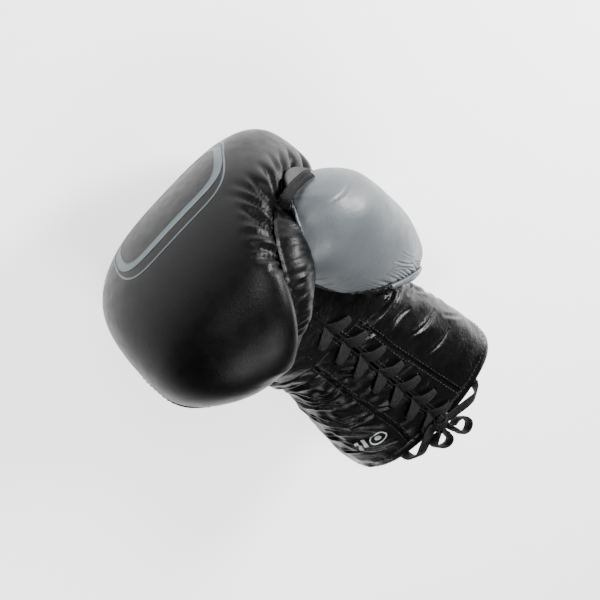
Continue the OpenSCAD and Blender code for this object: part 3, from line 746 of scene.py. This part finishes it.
# Each fold: its two ends as distance and angle, then its width, depth and bend
THUMB_CUFF_FOLDS = [
    (118, 28, 128, 76, 1.6, 2.6, 3), (104, 10, 112, 46, 1.5, 1.8, -3), (92, 356, 100, 388, 1.3, 1.2, 2),
    (62, 352, 96, 374, 2.4, 1.5, 4), (40, 350, 74, 372, 2.2, 1.1, -4), (28, 360, 58, 385, 1.8, 0.9, 3),
    (70, 26, 84, 60, 1.2, 1.2, 2), (96, 40, 104, 66, 1.0, 1.1, -2), (52, 36, 60, 64, 1.0, 0.8, 2)]
OUTER_CUFF_FOLDS = [
    (20, 116, 44, 150, 1.4, 1.5, 3), (38, 118, 62, 158, 1.6, 2.0, -4), (58, 116, 80, 160, 1.7, 2.3, 3),
    (80, 118, 96, 168, 1.6, 2.2, -3), (98, 116, 112, 160, 1.7, 2.5, 4), (114, 114, 126, 170, 2.0, 2.8, -3),
    (48, 150, 66, 190, 1.5, 1.4, 3), (70, 152, 88, 194, 1.4, 1.3, -3), (92, 150, 108, 196, 1.6, 1.4, 3),
    (30, 140, 38, 176, 1.1, 1.0, 2), (66, 126, 74, 144, 0.9, 1.1, 1), (88, 124, 94, 142, 0.9, 1.2, 1)]
THUMB_FLAP_FOLDS = [(112, 70, 120, 84, 1.2, 1.3, 1), (66, 72, 70, 84, 1.0, 0.7, 1)]
OUTER_FLAP_FOLDS = [(100, 95, 112, 108, 1.3, 1.4, 1), (52, 96, 60, 110, 1.1, 0.9, 1)]
BACK_CUFF_FOLDS = [
    (60, 215, 66, 250, 1.8, 1.2, 3), (84, 225, 88, 300, 2.0, 1.4, -4), (100, 205, 104, 330, 2.4, 1.8, 5),
    (40, 280, 48, 325, 1.8, 0.9, -3), (72, 280, 78, 330, 1.7, 1.1, 3)]


def wrap_q(rows):
    """The same folds with their angles between 180 and 540."""
    return [(a, q0 if q0 > 180 else q0 + 360, b, q1 if q1 > 180 else q1 + 360, *rest)
            for a, q0, b, q1, *rest in rows]


RIM, BACK_SEAM = 2.6, 341.0


def fist_edge(s):
    return np.interp(s, [110, 150, 200, 330], [206, 200, 190, 188])


fist = Panel(112, OUTER_END, fist_edge, gather_q, fist_relief, step=1.0)
outer_side = Panel(138, OUTER_END, 142, fist_edge, side_relief)
thumb_side = Panel(150, OUTER_END, gather_q, 398, thumb_wall_relief)
palm = Panel(136, 252, 38, 142, lambda p: puff(p, 1.0, 10) + ripple(p, 26, 0.5, 11))
finger = Panel(252, OUTER_END, 38, 142, lambda p: puff(p, 1.0, 10) + ripple(p, 30, 0.4, 12))
cuff_thumb = Panel(RIM, 150, BACK_SEAM, lambda s: seam_thumb_side(s) + 360,
                   lambda p: (puff(p, 1.6) + folds(p, wrap_q(THUMB_CUFF_FOLDS)) + ripple(p, 22, 0.5, 21)
                              + heel_crease(p)),
                   edges="0111")
cuff_outer = Panel(RIM, 138, seam_outer_side, 206,
                   lambda p: puff(p, 1.6) + folds(p, OUTER_CUFF_FOLDS) + ripple(p, 18, 0.8, 22) + heel_crease(p, 1.4),
                   edges="0111")
cuff_back = Panel(RIM, 112, 206, BACK_SEAM,
                  lambda p: puff(p, 1.6) + folds(p, BACK_CUFF_FOLDS) + ripple(p, 30, 0.5, 23), edges="0111")
flap_thumb = Panel(RIM, PALM_TOP, seam_thumb_side, flap_edge(1),
                   lambda p: 0.6 + ripple(p, 14, 0.45, 31) + folds(p, THUMB_FLAP_FOLDS),
                   step=STEP * 0.8, drop=0.9, edges="0010")
flap_outer = Panel(RIM, PALM_TOP, flap_edge(-1), seam_outer_side,
                   lambda p: 0.6 + ripple(p, 13, 0.6, 32) + folds(p, OUTER_FLAP_FOLDS),
                   step=STEP * 0.8, drop=0.9, edges="0001")
HOLE_X, HOLE_R = 13.0, 2.3
ROWS = [9, 31.5, 54, 76.5, 100, 122.5, 146]


def rides(piece, body, slot, *nodes):
    if body == "wrist":
        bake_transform(piece)
    else:
        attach(piece, body)
    if nodes:
        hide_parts(*nodes)
    return piece


def palm_z(y):
    return float(outer(float(y), 90.0)[2])


def punch(piece, side):
    """Cuts the lace holes through a flap."""
    verts, faces = [], []
    for y in ROWS:
        z, start = palm_z(y), len(verts)
        for h in (-8, 8):
            verts += [(side * HOLE_X + HOLE_R * math.cos(a), y + HOLE_R * math.sin(a), z + h)
                      for a in np.linspace(0, 2 * math.pi, 20, endpoint=False)]
        faces += [[start + k, start + (k + 1) % 20, start + 20 + (k + 1) % 20, start + 20 + k] for k in range(20)]
        faces += [[start + 19 - k for k in range(20)], [start + 20 + k for k in range(20)]]
    mesh = bpy.data.meshes.new("cutter")
    mesh.from_pydata([tuple(c * MM for c in v) for v in verts], [], faces)
    cutter = bpy.data.objects.new("cutter", mesh)
    bpy.context.scene.collection.objects.link(cutter)
    cut = piece.modifiers.new("holes", "BOOLEAN")
    cut.operation, cut.object, cut.solver = "DIFFERENCE", cutter, "EXACT"
    graph = bpy.context.evaluated_depsgraph_get()
    result = bpy.data.meshes.new_from_object(piece.evaluated_get(graph))
    piece.modifiers.clear()
    old, piece.data = piece.data, result
    result.name = piece.name
    bpy.data.meshes.remove(old)
    bpy.data.objects.remove(cutter)
    return piece


SEAM_T, SKIN_T, FLAP_T = 3.4, 1.6, 3.0
for panel, name, material, thickness, nodes in (
        (fist, "back_leather_skin", BLACK, SEAM_T, ["back_leather"]),
        (outer_side, "outer_side_leather_skin", BLACK, SKIN_T, ["outer_side_leather"]),
        (thumb_side, "thumb_side_leather_skin", BLACK, SEAM_T, ["thumb_side_leather"]),
        (palm, "palm_leather_skin", CUFF_BLACK, SKIN_T, ["palm_leather"]),
        (finger, "finger_leather_skin", BLACK, SKIN_T, ["finger_leather"])):
    rides(panel.build(name, material, thickness), "mitt", "black_leather", *nodes)
for panel, name, nodes in (
        (cuff_thumb, "cuff_thumb_side_skin", ["cuff_thumb_side_leather", "heel_leather_thumb_side"]),
        (cuff_outer, "cuff_outer_side_skin", ["cuff_outer_side_leather", "heel_leather_outer_side"]),
        (cuff_back, "cuff_back_skin", ["cuff_back_leather"])):
    rides(panel.build(name, CUFF_BLACK, SKIN_T), "wrist", "black_leather", *nodes)
for panel, part, side in ((flap_thumb, "thumb_side", 1), (flap_outer, "outer_side", -1)):
    flap = punch(panel.build(f"lace_flap_{part}_skin", CUFF_BLACK, FLAP_T), side)
    rides(flap, "wrist", "black_leather", f"lace_flap_{part}", f"palm_flap_{part}")

# Guard behind the lacing
s = np.linspace(RIM + 2, PALM_TOP - 6, 90)[:, None]
x_at = np.linspace(-1, 1, 24)[None]
guard_q = q_at_x(np.broadcast_to(s, (90, 24)), x_at * 12)
guard = outer(s, guard_q)
guard[..., 2] -= 7.6 + 0.5 * np.sin(s * 0.2) + 0.8 * x_at ** 2
rides(closed("lacing_guard", guard, guard - [0, 0, 1.2], CUFF_BLACK), "wrist", "black_leather")

# Double stitching beside the seams
rides(stitches("flap_stitches", [
    cuff_thumb.line(1, 2.4), flap_thumb.line(0, 2.4), cuff_outer.line(0, 2.4), flap_outer.line(1, 2.4),
    flap_thumb.line(1, 2.6), flap_outer.line(0, 2.6)], THREAD), "wrist", "binding")
rides(stitches("back_seam_stitches", [
    cuff_thumb.line(0, 2.4, 0, 0.7), cuff_back.line(1, 2.4), cuff_back.line(0, 2.4),
    cuff_outer.line(1, 2.4)], THREAD), "wrist", "binding")
rides(stitches("fist_stitches", [
    fist.line(0, 2.4, 0.1), outer_side.line(1, 2.4, 0.05)], THREAD), "mitt", "binding")


def pad(name, body, s0, s1, q0, q1, top, bottom, *nodes, step=4.0):
    """Foam between two shares of the way from the leather to the lining."""
    last = s1 - (0.02 if s1 >= OUTER_END else 0)
    s = spread_s(s0, last, max(6, int((s1 - s0) / step)), OUTER_END, OUTER_CAP)[:, None]
    q = np.linspace(q0, q1, max(6, int((q1 - q0) / step)))[None]
    a, b = outer(s, q), hand(s, q)
    far = np.linalg.norm(b - a, axis=-1, keepdims=True)
    unit = (b - a) / np.maximum(far, 1e-6)
    near, _, full = from_seam(a)
    below = 4.8 + 11 * full * np.exp(-(near / 14) ** 2)
    high, low = (a + unit * (np.minimum(below[..., None], far * 0.6) if share <= 0
                             else far * share - (1.4 if share >= 1 else 0)) for share in (top, bottom))
    piece = rides(closed(name, high, low, FOAM), body, "foam", *nodes)
    return piece


pad("knuckle_pad_outer", "mitt", 122, OUTER_END, 208, 340, 0, 0.62, "knuckle_foam_outer")
pad("knuckle_pad_inner", "mitt", 122, OUTER_END, 208, 345, 0.63, 1, "knuckle_foam_inner")
pad("outer_side_pad", "mitt", 126, OUTER_END, 144, 205, 0, 1, "outer_side_foam")
pad("thumb_side_pad", "mitt", 158, OUTER_END, 356, 396, 0, 1, "thumb_side_foam")
pad("palm_pad", "mitt", 184, 250, 40, 140, 0, 1, "palm_foam")
pad("finger_pad", "mitt", 254, OUTER_END, 40, 140, 0, 1, "finger_foam")
pad("heel_pad_thumb_side", "mitt", 128, 150, 352, 423, 0, 1, "heel_foam_thumb_side")
pad("heel_pad_outer_side", "mitt", 128, 150, 112, 142, 0, 1, "heel_foam_outer_side")
pad("cuff_back_pad", "cuff", 5, 70, 208, 338, 0, 1, "cuff_back_foam")
pad("cuff_thumb_side_pad", "cuff", 5, 70, 342, 421, 0, 1, "cuff_thumb_side_foam")
pad("cuff_outer_side_pad", "cuff", 5, 70, 118, 204, 0, 1, "cuff_outer_side_foam")


def cloth(name, body, s0, s1, q0, q1, *nodes, step=3.0, depth=1.2):
    s = np.linspace(s0, s1, max(6, int((s1 - s0) / step)))[:, None]
    s = np.minimum(s, HAND_END - 0.02)
    q = np.linspace(q0, q1, max(6, int((q1 - q0) / step)))[None]
    inside = body_point(HAND, s, q, HAND_END, HAND_CAP)
    centre = 0.5 * inside + 0.5 * body_point(HAND, s, q + 180, HAND_END, HAND_CAP)
    n = outward(inside, centre)
    wave = 0.25 * np.sin(s * 0.4 + 0.6 * np.sin(q / 9)) + 0.2 * np.sin(q / 3.1)
    inside = inside + n * wave[..., None]
    return rides(closed(name, inside + n * depth, inside, LINING), body, "lining", *nodes)


cloth("cuff_lining_cloth", "wrist", 1.5, 124, 94 - 360 + 25, 62, "cuff_lining")
cloth("hand_lining_cloth", "mitt", 126, HAND_END, 97 - 360, 83, "hand_lining")
cloth("palm_lining_cloth", "mitt", 182, 262, 84, 96)
row = row_at(HAND, 205.0)
grip_centre = curl(np.array(205.0), np.array(row[4]), np.array(row[3] - 6 - 3.5))
grip_rows = np.array([[grip_centre[0] + x, grip_centre[1], grip_centre[2], 0, 0, 1, w]
                      for x, w in ((-18, 6), (-17.6, 10), (-16, 11.8), (0, 12), (16, 11.8), (17.6, 10), (18, 6))])
rides(swept("grip_roll", resample(grip_rows, 1.0), 11.6, LINING, ribs=0, sides=32), "mitt", "lining", "grip_bar")

# ---------------------------------------------------------------- thumb
GREY_EDGE = 146.0
BASE_RANGE = 84.0


def base_line(q):
    """Where the grey leather of the thumb starts, lower on the side towards the palm."""
    return np.interp(q, [-46, 45, 70, 103, 135, 150], [0.6, 3, 14, 36, 56, 62])


def above_base(s, q):
    return s + (base_line(q) - 0.6) * np.clip(1 - (s - 0.6) / (BASE_RANGE - 0.6), 0, 1)


def below_base(s, q):
    return 0.6 + (s - 0.6) / (BASE_RANGE - 0.6) * (base_line(q) - 0.8)


THUMB_FOLDS = [
    (26, 62, 58, 78, 1.0, 0.9, 3), (20, 70, 52, 84, 0.8, 0.9, -2), (14, 76, 40, 94, 0.8, 0.8, 2),
    (12, 50, 34, 64, 0.9, 0.7, 2),
    (10, 88, 30, 104, 0.7, 0.8, 2), (10, 104, 28, 112, 0.7, 0.6, -1), (34, 60, 62, 66, 0.7, 0.5, 2),
    (124, 20, 134, 66, 0.9, 0.25, 1), (128, 350, 136, 390, 0.9, 0.3, 1), (96, 124, 104, 144, 0.6, 0.5, 1),
    (84, 126, 90, 145, 0.6, 0.45, 1), (110, 122, 118, 143, 0.6, 0.5, 1)]


def thumb_relief(p):
    base = p.d[0]
    n = p.q / 5.4 + 0.5 * smooth_noise(p.q, 41, 40)
    small = (np.abs(np.sin(math.pi * n)) ** 0.7 - 0.6) * 0.9 * np.exp(-((base - 4) / 11) ** 2)
    edge = p.d[3]
    m = p.s / 6.0 + 0.4 * smooth_noise(p.s, 42, 30)
    seam = (np.abs(np.sin(math.pi * m)) ** 0.7 - 0.6) * 0.55 * np.exp(-(edge / 6) ** 1.5)
    return folds(p, THUMB_FOLDS) + small + seam + ripple(p, 40, 0.25, 43) + 0.5


FULLER = np.array([-0.50, 0.50, 0.25])


def thumb_full(s, q):
    """The thumb's outside, plumper towards the fist and at its tip."""
    s, q = np.broadcast_arrays(np.asarray(s, float), np.asarray(q, float))
    rise = np.clip((s - 12) / 62, 0, 1)
    tip = np.clip((s - 108) / 30, 0, 1) ** 2
    around = np.exp(-((q - 140) / 55) ** 2) * (1 - tip) + 0.5 * tip
    return thumb_outer(s, q) + (13.0 * rise ** 2 * (3 - 2 * rise) * around)[..., None] * FULLER


THUMB_SKIN_T = 1.4
grey = Panel(0.6, THUMB_L, -46, GREY_EDGE, thumb_relief, form=thumb_full, passes=12, end=THUMB_L, cap=THUMB_CAP,
             step=STEP * 0.7, drop=1.2, edges="1011", warp=above_base)
dark = Panel(0.6, THUMB_L, GREY_EDGE, 314,
             lambda p: 0.3 * puff(p, 1.0), form=thumb_full, passes=12, end=THUMB_L, cap=THUMB_CAP, drop=0.6)
root = Panel(0.6, BASE_RANGE, 45, GREY_EDGE, lambda p: 0.3 * ripple(p, 9, 1.2, 47) + ripple(p, 14, 0.8, 48),
             form=thumb_full, end=THUMB_L, cap=THUMB_CAP, drop=0.8, edges="0111", warp=below_base)
rides(root.build("thumb_root_skin", GLOSSY, THUMB_SKIN_T), "thumb", "black_leather")
for i, (inset, wide) in enumerate(((0.6, 5.6), (4.6, 6.0))):
    q_lip = np.linspace(48, 106, 60)
    p = thumb_full(base_line(q_lip) - inset, q_lip)
    strip = thumb_full(base_line(q_lip)[:, None] + np.linspace(-2, 2, 5)[None], q_lip[:, None])
    n = outward(strip, np.array([54.0, 140.0, 25.0]))[:, 2]
    w = wide * np.sin(np.linspace(0.15, math.pi - 0.15, 60)) ** 0.4
    lip = swept(f"thumb_lip_{i}", np.hstack([p + n * (1.5 - 0.5 * i), n, w[:, None]]), 2.8, GREY, ribs=0, sides=24)
    rides(lip, "thumb", "grey_leather")
rides(grey.build("thumb_grey_skin", GREY, THUMB_SKIN_T), "thumb", "grey_leather", "thumb_leather_outer")
rides(dark.build("thumb_black_skin", BLACK, THUMB_SKIN_T), "thumb", "black_leather", "thumb_leather_inner")
s = np.linspace(3, THUMB_L - 1, 40)[:, None]
for name, q0, q1, nodes in (("thumb_pad_outer", -44, 144, "thumb_foam_outer"),
                            ("thumb_pad_inner", 148, 312, "thumb_foam_inner")):
    q = np.linspace(q0, q1, 50)[None]
    a, b = thumb_full(s, q), thumb_hand(s, q)
    far = np.linalg.norm(b - a, axis=-1, keepdims=True)
    unit = (b - a) / np.maximum(far, 1e-6)
    piece = rides(closed(name, a + unit * np.minimum(3.4, far * 0.4), b - unit * 1.4, FOAM), "thumb", "foam", nodes)
q = np.linspace(0, 360, 60, endpoint=False)[None]
s = np.linspace(1, THUMB_L - 1, 40)[:, None]
a, b = thumb_outer(s, q), thumb_hand(s, q)
unit = (b - a) / np.maximum(np.linalg.norm(b - a, axis=-1, keepdims=True), 1e-6)
rides(closed("thumb_lining_cloth", b - unit * 1.1, b, LINING, ring=True), "thumb", "lining", "thumb_lining")

# Piping: beads of thread along the grey panel's seam
edge_points, edge_normals = grey.line(1, 0.2, 0.01, 0.98)
beads = stitches("thumb_piping_beads", [(edge_points + edge_normals * 0.7, edge_normals)], THREAD,
                 pitch=2.5, length=2.3, radius=0.75)
rides(beads, "thumb", "black_leather", "thumb_piping")

# ---------------------------------------------------------------- strap, binding
STRAP_FACE = np.array([0.3, 0.9, 0.3])
STRAP = np.array([
    [37, 265, 57], [41, 268, 56.5], [47, 266.5, 52.5], [53, 263.5, 49], [58.5, 260.5, 46.5], [61, 258, 45.5]])
strap_rows = [[*p, *STRAP_FACE, 7.0] for p in STRAP]
strap = swept("thumb_strap_web", resample(strap_rows, 0.8), 1.6, TAPE, ribs=5, sides=28)
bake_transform(strap)
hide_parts("thumb_strap")

q = np.linspace(97 - 360 + 1, 86, 260)[None]
# Across the binding: distance in from the rim, share of the way from leather to lining, height above it
profile = [(9.0, 0, 0.3), (8.6, 0, 1.0), (5.5, 0, 1.25), (2.2, 0, 1.35), (0.3, 0.04, 1.5),
           (-0.9, 0.25, 0.6), (-1.0, 0.75, 0.6), (0.3, 0.96, 1.5), (2.2, 1, 1.2), (5.5, 1, 1.1),
           (8.6, 1, 0.9), (9.0, 1, 0.2)]


def rim_point(y, share, lift):
    """Across the bound edge: share 0 is the leather's outside, 1 the lining."""
    a = body_point(OUTER, max(y, 0.0), q, OUTER_END, OUTER_CAP)[0]
    b = body_point(HAND, max(y, 0.0), q, HAND_END, HAND_CAP)[0]
    out = (a - b) / np.linalg.norm(a - b, axis=-1, keepdims=True)
    p = a * (1 - share) + b * share + out * lift * (1 - 2 * round(share))
    p[:, 1] = y + 0.35 * np.sin(q[0] / 7.0)
    return p


top = np.stack([rim_point(*row) for row in profile])
bottom = np.stack([rim_point(min(y, 8.8) + 0.9 * (y < 1), min(1, max(0, share)) * 0.8 + 0.1, lift - 0.8)
                   for y, share, lift in profile])
rides(closed("cuff_binding_fold", top, bottom, CUFF_BLACK), "cuff", "black_leather", "cuff_binding")
rim_line = rim_point(7.2, 0, 1.3)
rim_out = rim_line - rim_point(7.2, 1, 0)
rim_out /= np.linalg.norm(rim_out, axis=1, keepdims=True)
rides(stitches("binding_stitches", [(rim_line, rim_out)], THREAD), "cuff", "binding")

for part, panel, side in (("thumb_side", flap_thumb, 1), ("outer_side", flap_outer, 0)):
    p, n = panel.line(side, 0.0)
    facing = np.tile([1.0, 0, 0], (len(p), 1)) * (-1 if side else 1)
    rows = np.hstack([p - n * 1.2, facing, np.full((len(p), 1), 4.4)])
    tape = swept(f"flap_tape_{part}", resample(rows[::4], 1.0), 1.6, TAPE, ribs=2, sides=24)
    rides(tape, "wrist", "binding", f"flap_binding_{part}")

# ---------------------------------------------------------------- lacing
def lacing(name, first, node):
    """One lace, up through the holes of both flaps by turns."""
    rows = []
    for i, y in enumerate(ROWS):
        side = first * (-1) ** i
        z = palm_z(y)
        high = 1.3 if (i + (first > 0)) % 2 else 0.2
        gap = (ROWS[min(i + 1, len(ROWS) - 1)] - y) if i + 1 < len(ROWS) else 22
        rows += [
            [side * 9.0, y - 7, z - 5.2, 0, 0, -1, 5.5],
            [side * 12.6, y - 1.8, z - 5.4, side * 0.3, 0, -1, 4.6],
            [side * 13.4, y, z - 3.0, side, 0, 0, 3.9],
            [side * 13.3, y + 0.4, z + 1.2, side, 0, 0.35, 4.2],
            [side * 10.8, y + 1.6, z + 2.9, side * 0.3, 0, 1, 6.6],
            [side * 5.0, y + 4.8, z + 3.1 + high, 0, 0, 1, 9.0],
            [-side * 0.5, y + 8.2, z + 1.6 + high * 0.5, -side * 0.3, 0, 1, 8.6],
            [-side * 4.2, y + 10.8, z - 2.9, -side * 0.6, 0, 0.8, 6.6],
            [-side * 7.5, y + 12.6, z - 5.6, 0, 0.3, 1, 5.4],
        ]
        if gap > 20:
            rows.append([-side * 8.6, y + gap * 0.5 + 3.0, z - 6.0, 0, 0.9, 0.3, 5.0])
    rides(swept(name, resample(rows[2:-1], 0.8), LACE_T, LACE, ribs=6), "wrist", "lace", node)


lacing("lacing_a", 1, "wrist_lace")
lacing("lacing_b", -1, "palm_lace")

# ---------------------------------------------------------------- printed marks
def print_band(name, form_panel, s_of, q_of, width, material, count=220, lift=0.12, closed_loop=True):
    """A thin printed stripe along a curve on the leather."""
    t = np.linspace(0, 1, count, endpoint=not closed_loop)
    s, q = s_of(t), q_of(t)
    ps, pq = form_panel.s, form_panel.q

    def on(s, q):
        rows = np.interp(s, ps[:, 0], np.arange(len(ps)))
        i = np.clip(rows.astype(int), 0, len(ps) - 2)
        f = (rows - i)[:, None]
        out = []
        for k in (0, 1):
            c = np.array([np.interp(qq, pq[r], np.arange(pq.shape[1])) for qq, r in zip(q, i + k)])
            j = np.clip(c.astype(int), 0, pq.shape[1] - 2)
            g = (c - j)[:, None]
            out.append((form_panel.top[i + k, j] * (1 - g) + form_panel.top[i + k, j + 1] * g,
                        form_panel.normal[i + k, j]))
        return out[0][0] * (1 - f) + out[1][0] * f, out[0][1]

    p, n = on(s, q)
    ahead = np.roll(p, -1, 0) - np.roll(p, 1, 0)
    if not closed_loop:
        ahead = np.gradient(p, axis=0)
    side = np.cross(n, ahead)
    side /= np.linalg.norm(side, axis=1, keepdims=True)
    w = np.linspace(-0.5, 0.5, 5)
    top = p[None] + side[None] * (w * width)[:, None, None] + n[None] * lift
    return closed(name, top, top - n[None] * 0.3, material, ring=closed_loop)


def oval(s0, q0, half_s, half_q, power=3.2):
    def s_of(t):
        return s0 + half_s * signed_pow(np.sin(2 * math.pi * t), 2 / power)
    def q_of(t):
        return q0 + half_q * signed_pow(np.cos(2 * math.pi * t), 2 / power)
    return s_of, q_of


EMBLEM = (247.0, 271.0)
for i, (half_s, half_q, width) in enumerate(((15, 26, 1.2), (10.5, 22.5, 5.2))):
    ring = print_band(f"emblem_ring_{i}", fist, *oval(*EMBLEM, half_s, half_q), width, PRINT_BLUE)
    rides(ring, "mitt", "black_leather")
SIZE_RING = (34.0, 123.0)
marks = [print_band("size_mark_ring", cuff_outer, *oval(*SIZE_RING, 5.2, 6.8, 2), 0.9, PRINT_WHITE),
         print_band("size_mark_dot", cuff_outer, *oval(*SIZE_RING, 1.2, 1.6, 2), 2.2, PRINT_WHITE, 60)]
for i, q_at in enumerate((134.5, 141.0)):
    marks.append(print_band(f"size_mark_bar_{i}", cuff_outer, lambda t: 29.5 + 11 * t,
                            lambda t, q_at=q_at: q_at + 0 * t, 2.6, PRINT_WHITE, 30, closed_loop=False))
for mark in marks:
    rides(mark, "cuff", "black_leather")

# ---------------------------------------------------------------- floor and light
low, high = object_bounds()
floor_mesh = bpy.data.meshes.new("floor")
floor_mesh.from_pydata([(-6, -6, 0), (6, -6, 0), (6, 6, 0), (-6, 6, 0)], [], [[0, 1, 2, 3]])
floor = bpy.data.objects.new("floor", floor_mesh)
floor.location.z = low[2] - 0.001
bpy.context.scene.collection.objects.link(floor)
pale = Shader("floor_pale", (0.9, 0.9, 0.9), 0.9, Emission_Color=(1, 1, 1, 1), Emission_Strength=1.9)
floor_mesh.materials.append(pale.material)

world = bpy.data.worlds.new("studio")
bpy.context.scene.world = world
world.use_nodes = True
world.node_tree.nodes["Background"].inputs[0].default_value = (1, 1, 1, 1)
world.node_tree.nodes["Background"].inputs[1].default_value = 0.05


def light(name, place, size, power):
    """A square lamp that faces the glove; place is in metres along the camera's right, up and back."""
    data = bpy.data.lights.new(name, "AREA")
    data.energy, data.size, data.shape = power, size, "SQUARE"
    o = bpy.data.objects.new(name, data)
    o.location = TARGET + image_x * place[0] + image_y * place[1] + toward * place[2]
    o.rotation_euler = (TARGET - o.location).to_track_quat("-Z", "Y").to_euler()
    bpy.context.scene.collection.objects.link(o)


light("key_left", (-0.75, 0.85, 0.65), 0.25, 16)
light("top", (-0.10, 1.0, 0.10), 0.40, 34)
light("right", (0.9, 0.45, 0.35), 0.30, 30)
light("low_front", (0.55, -0.95, 0.65), 0.6, 12)
light("over", (0.1, 0.15, 1.3), 0.25, 8)
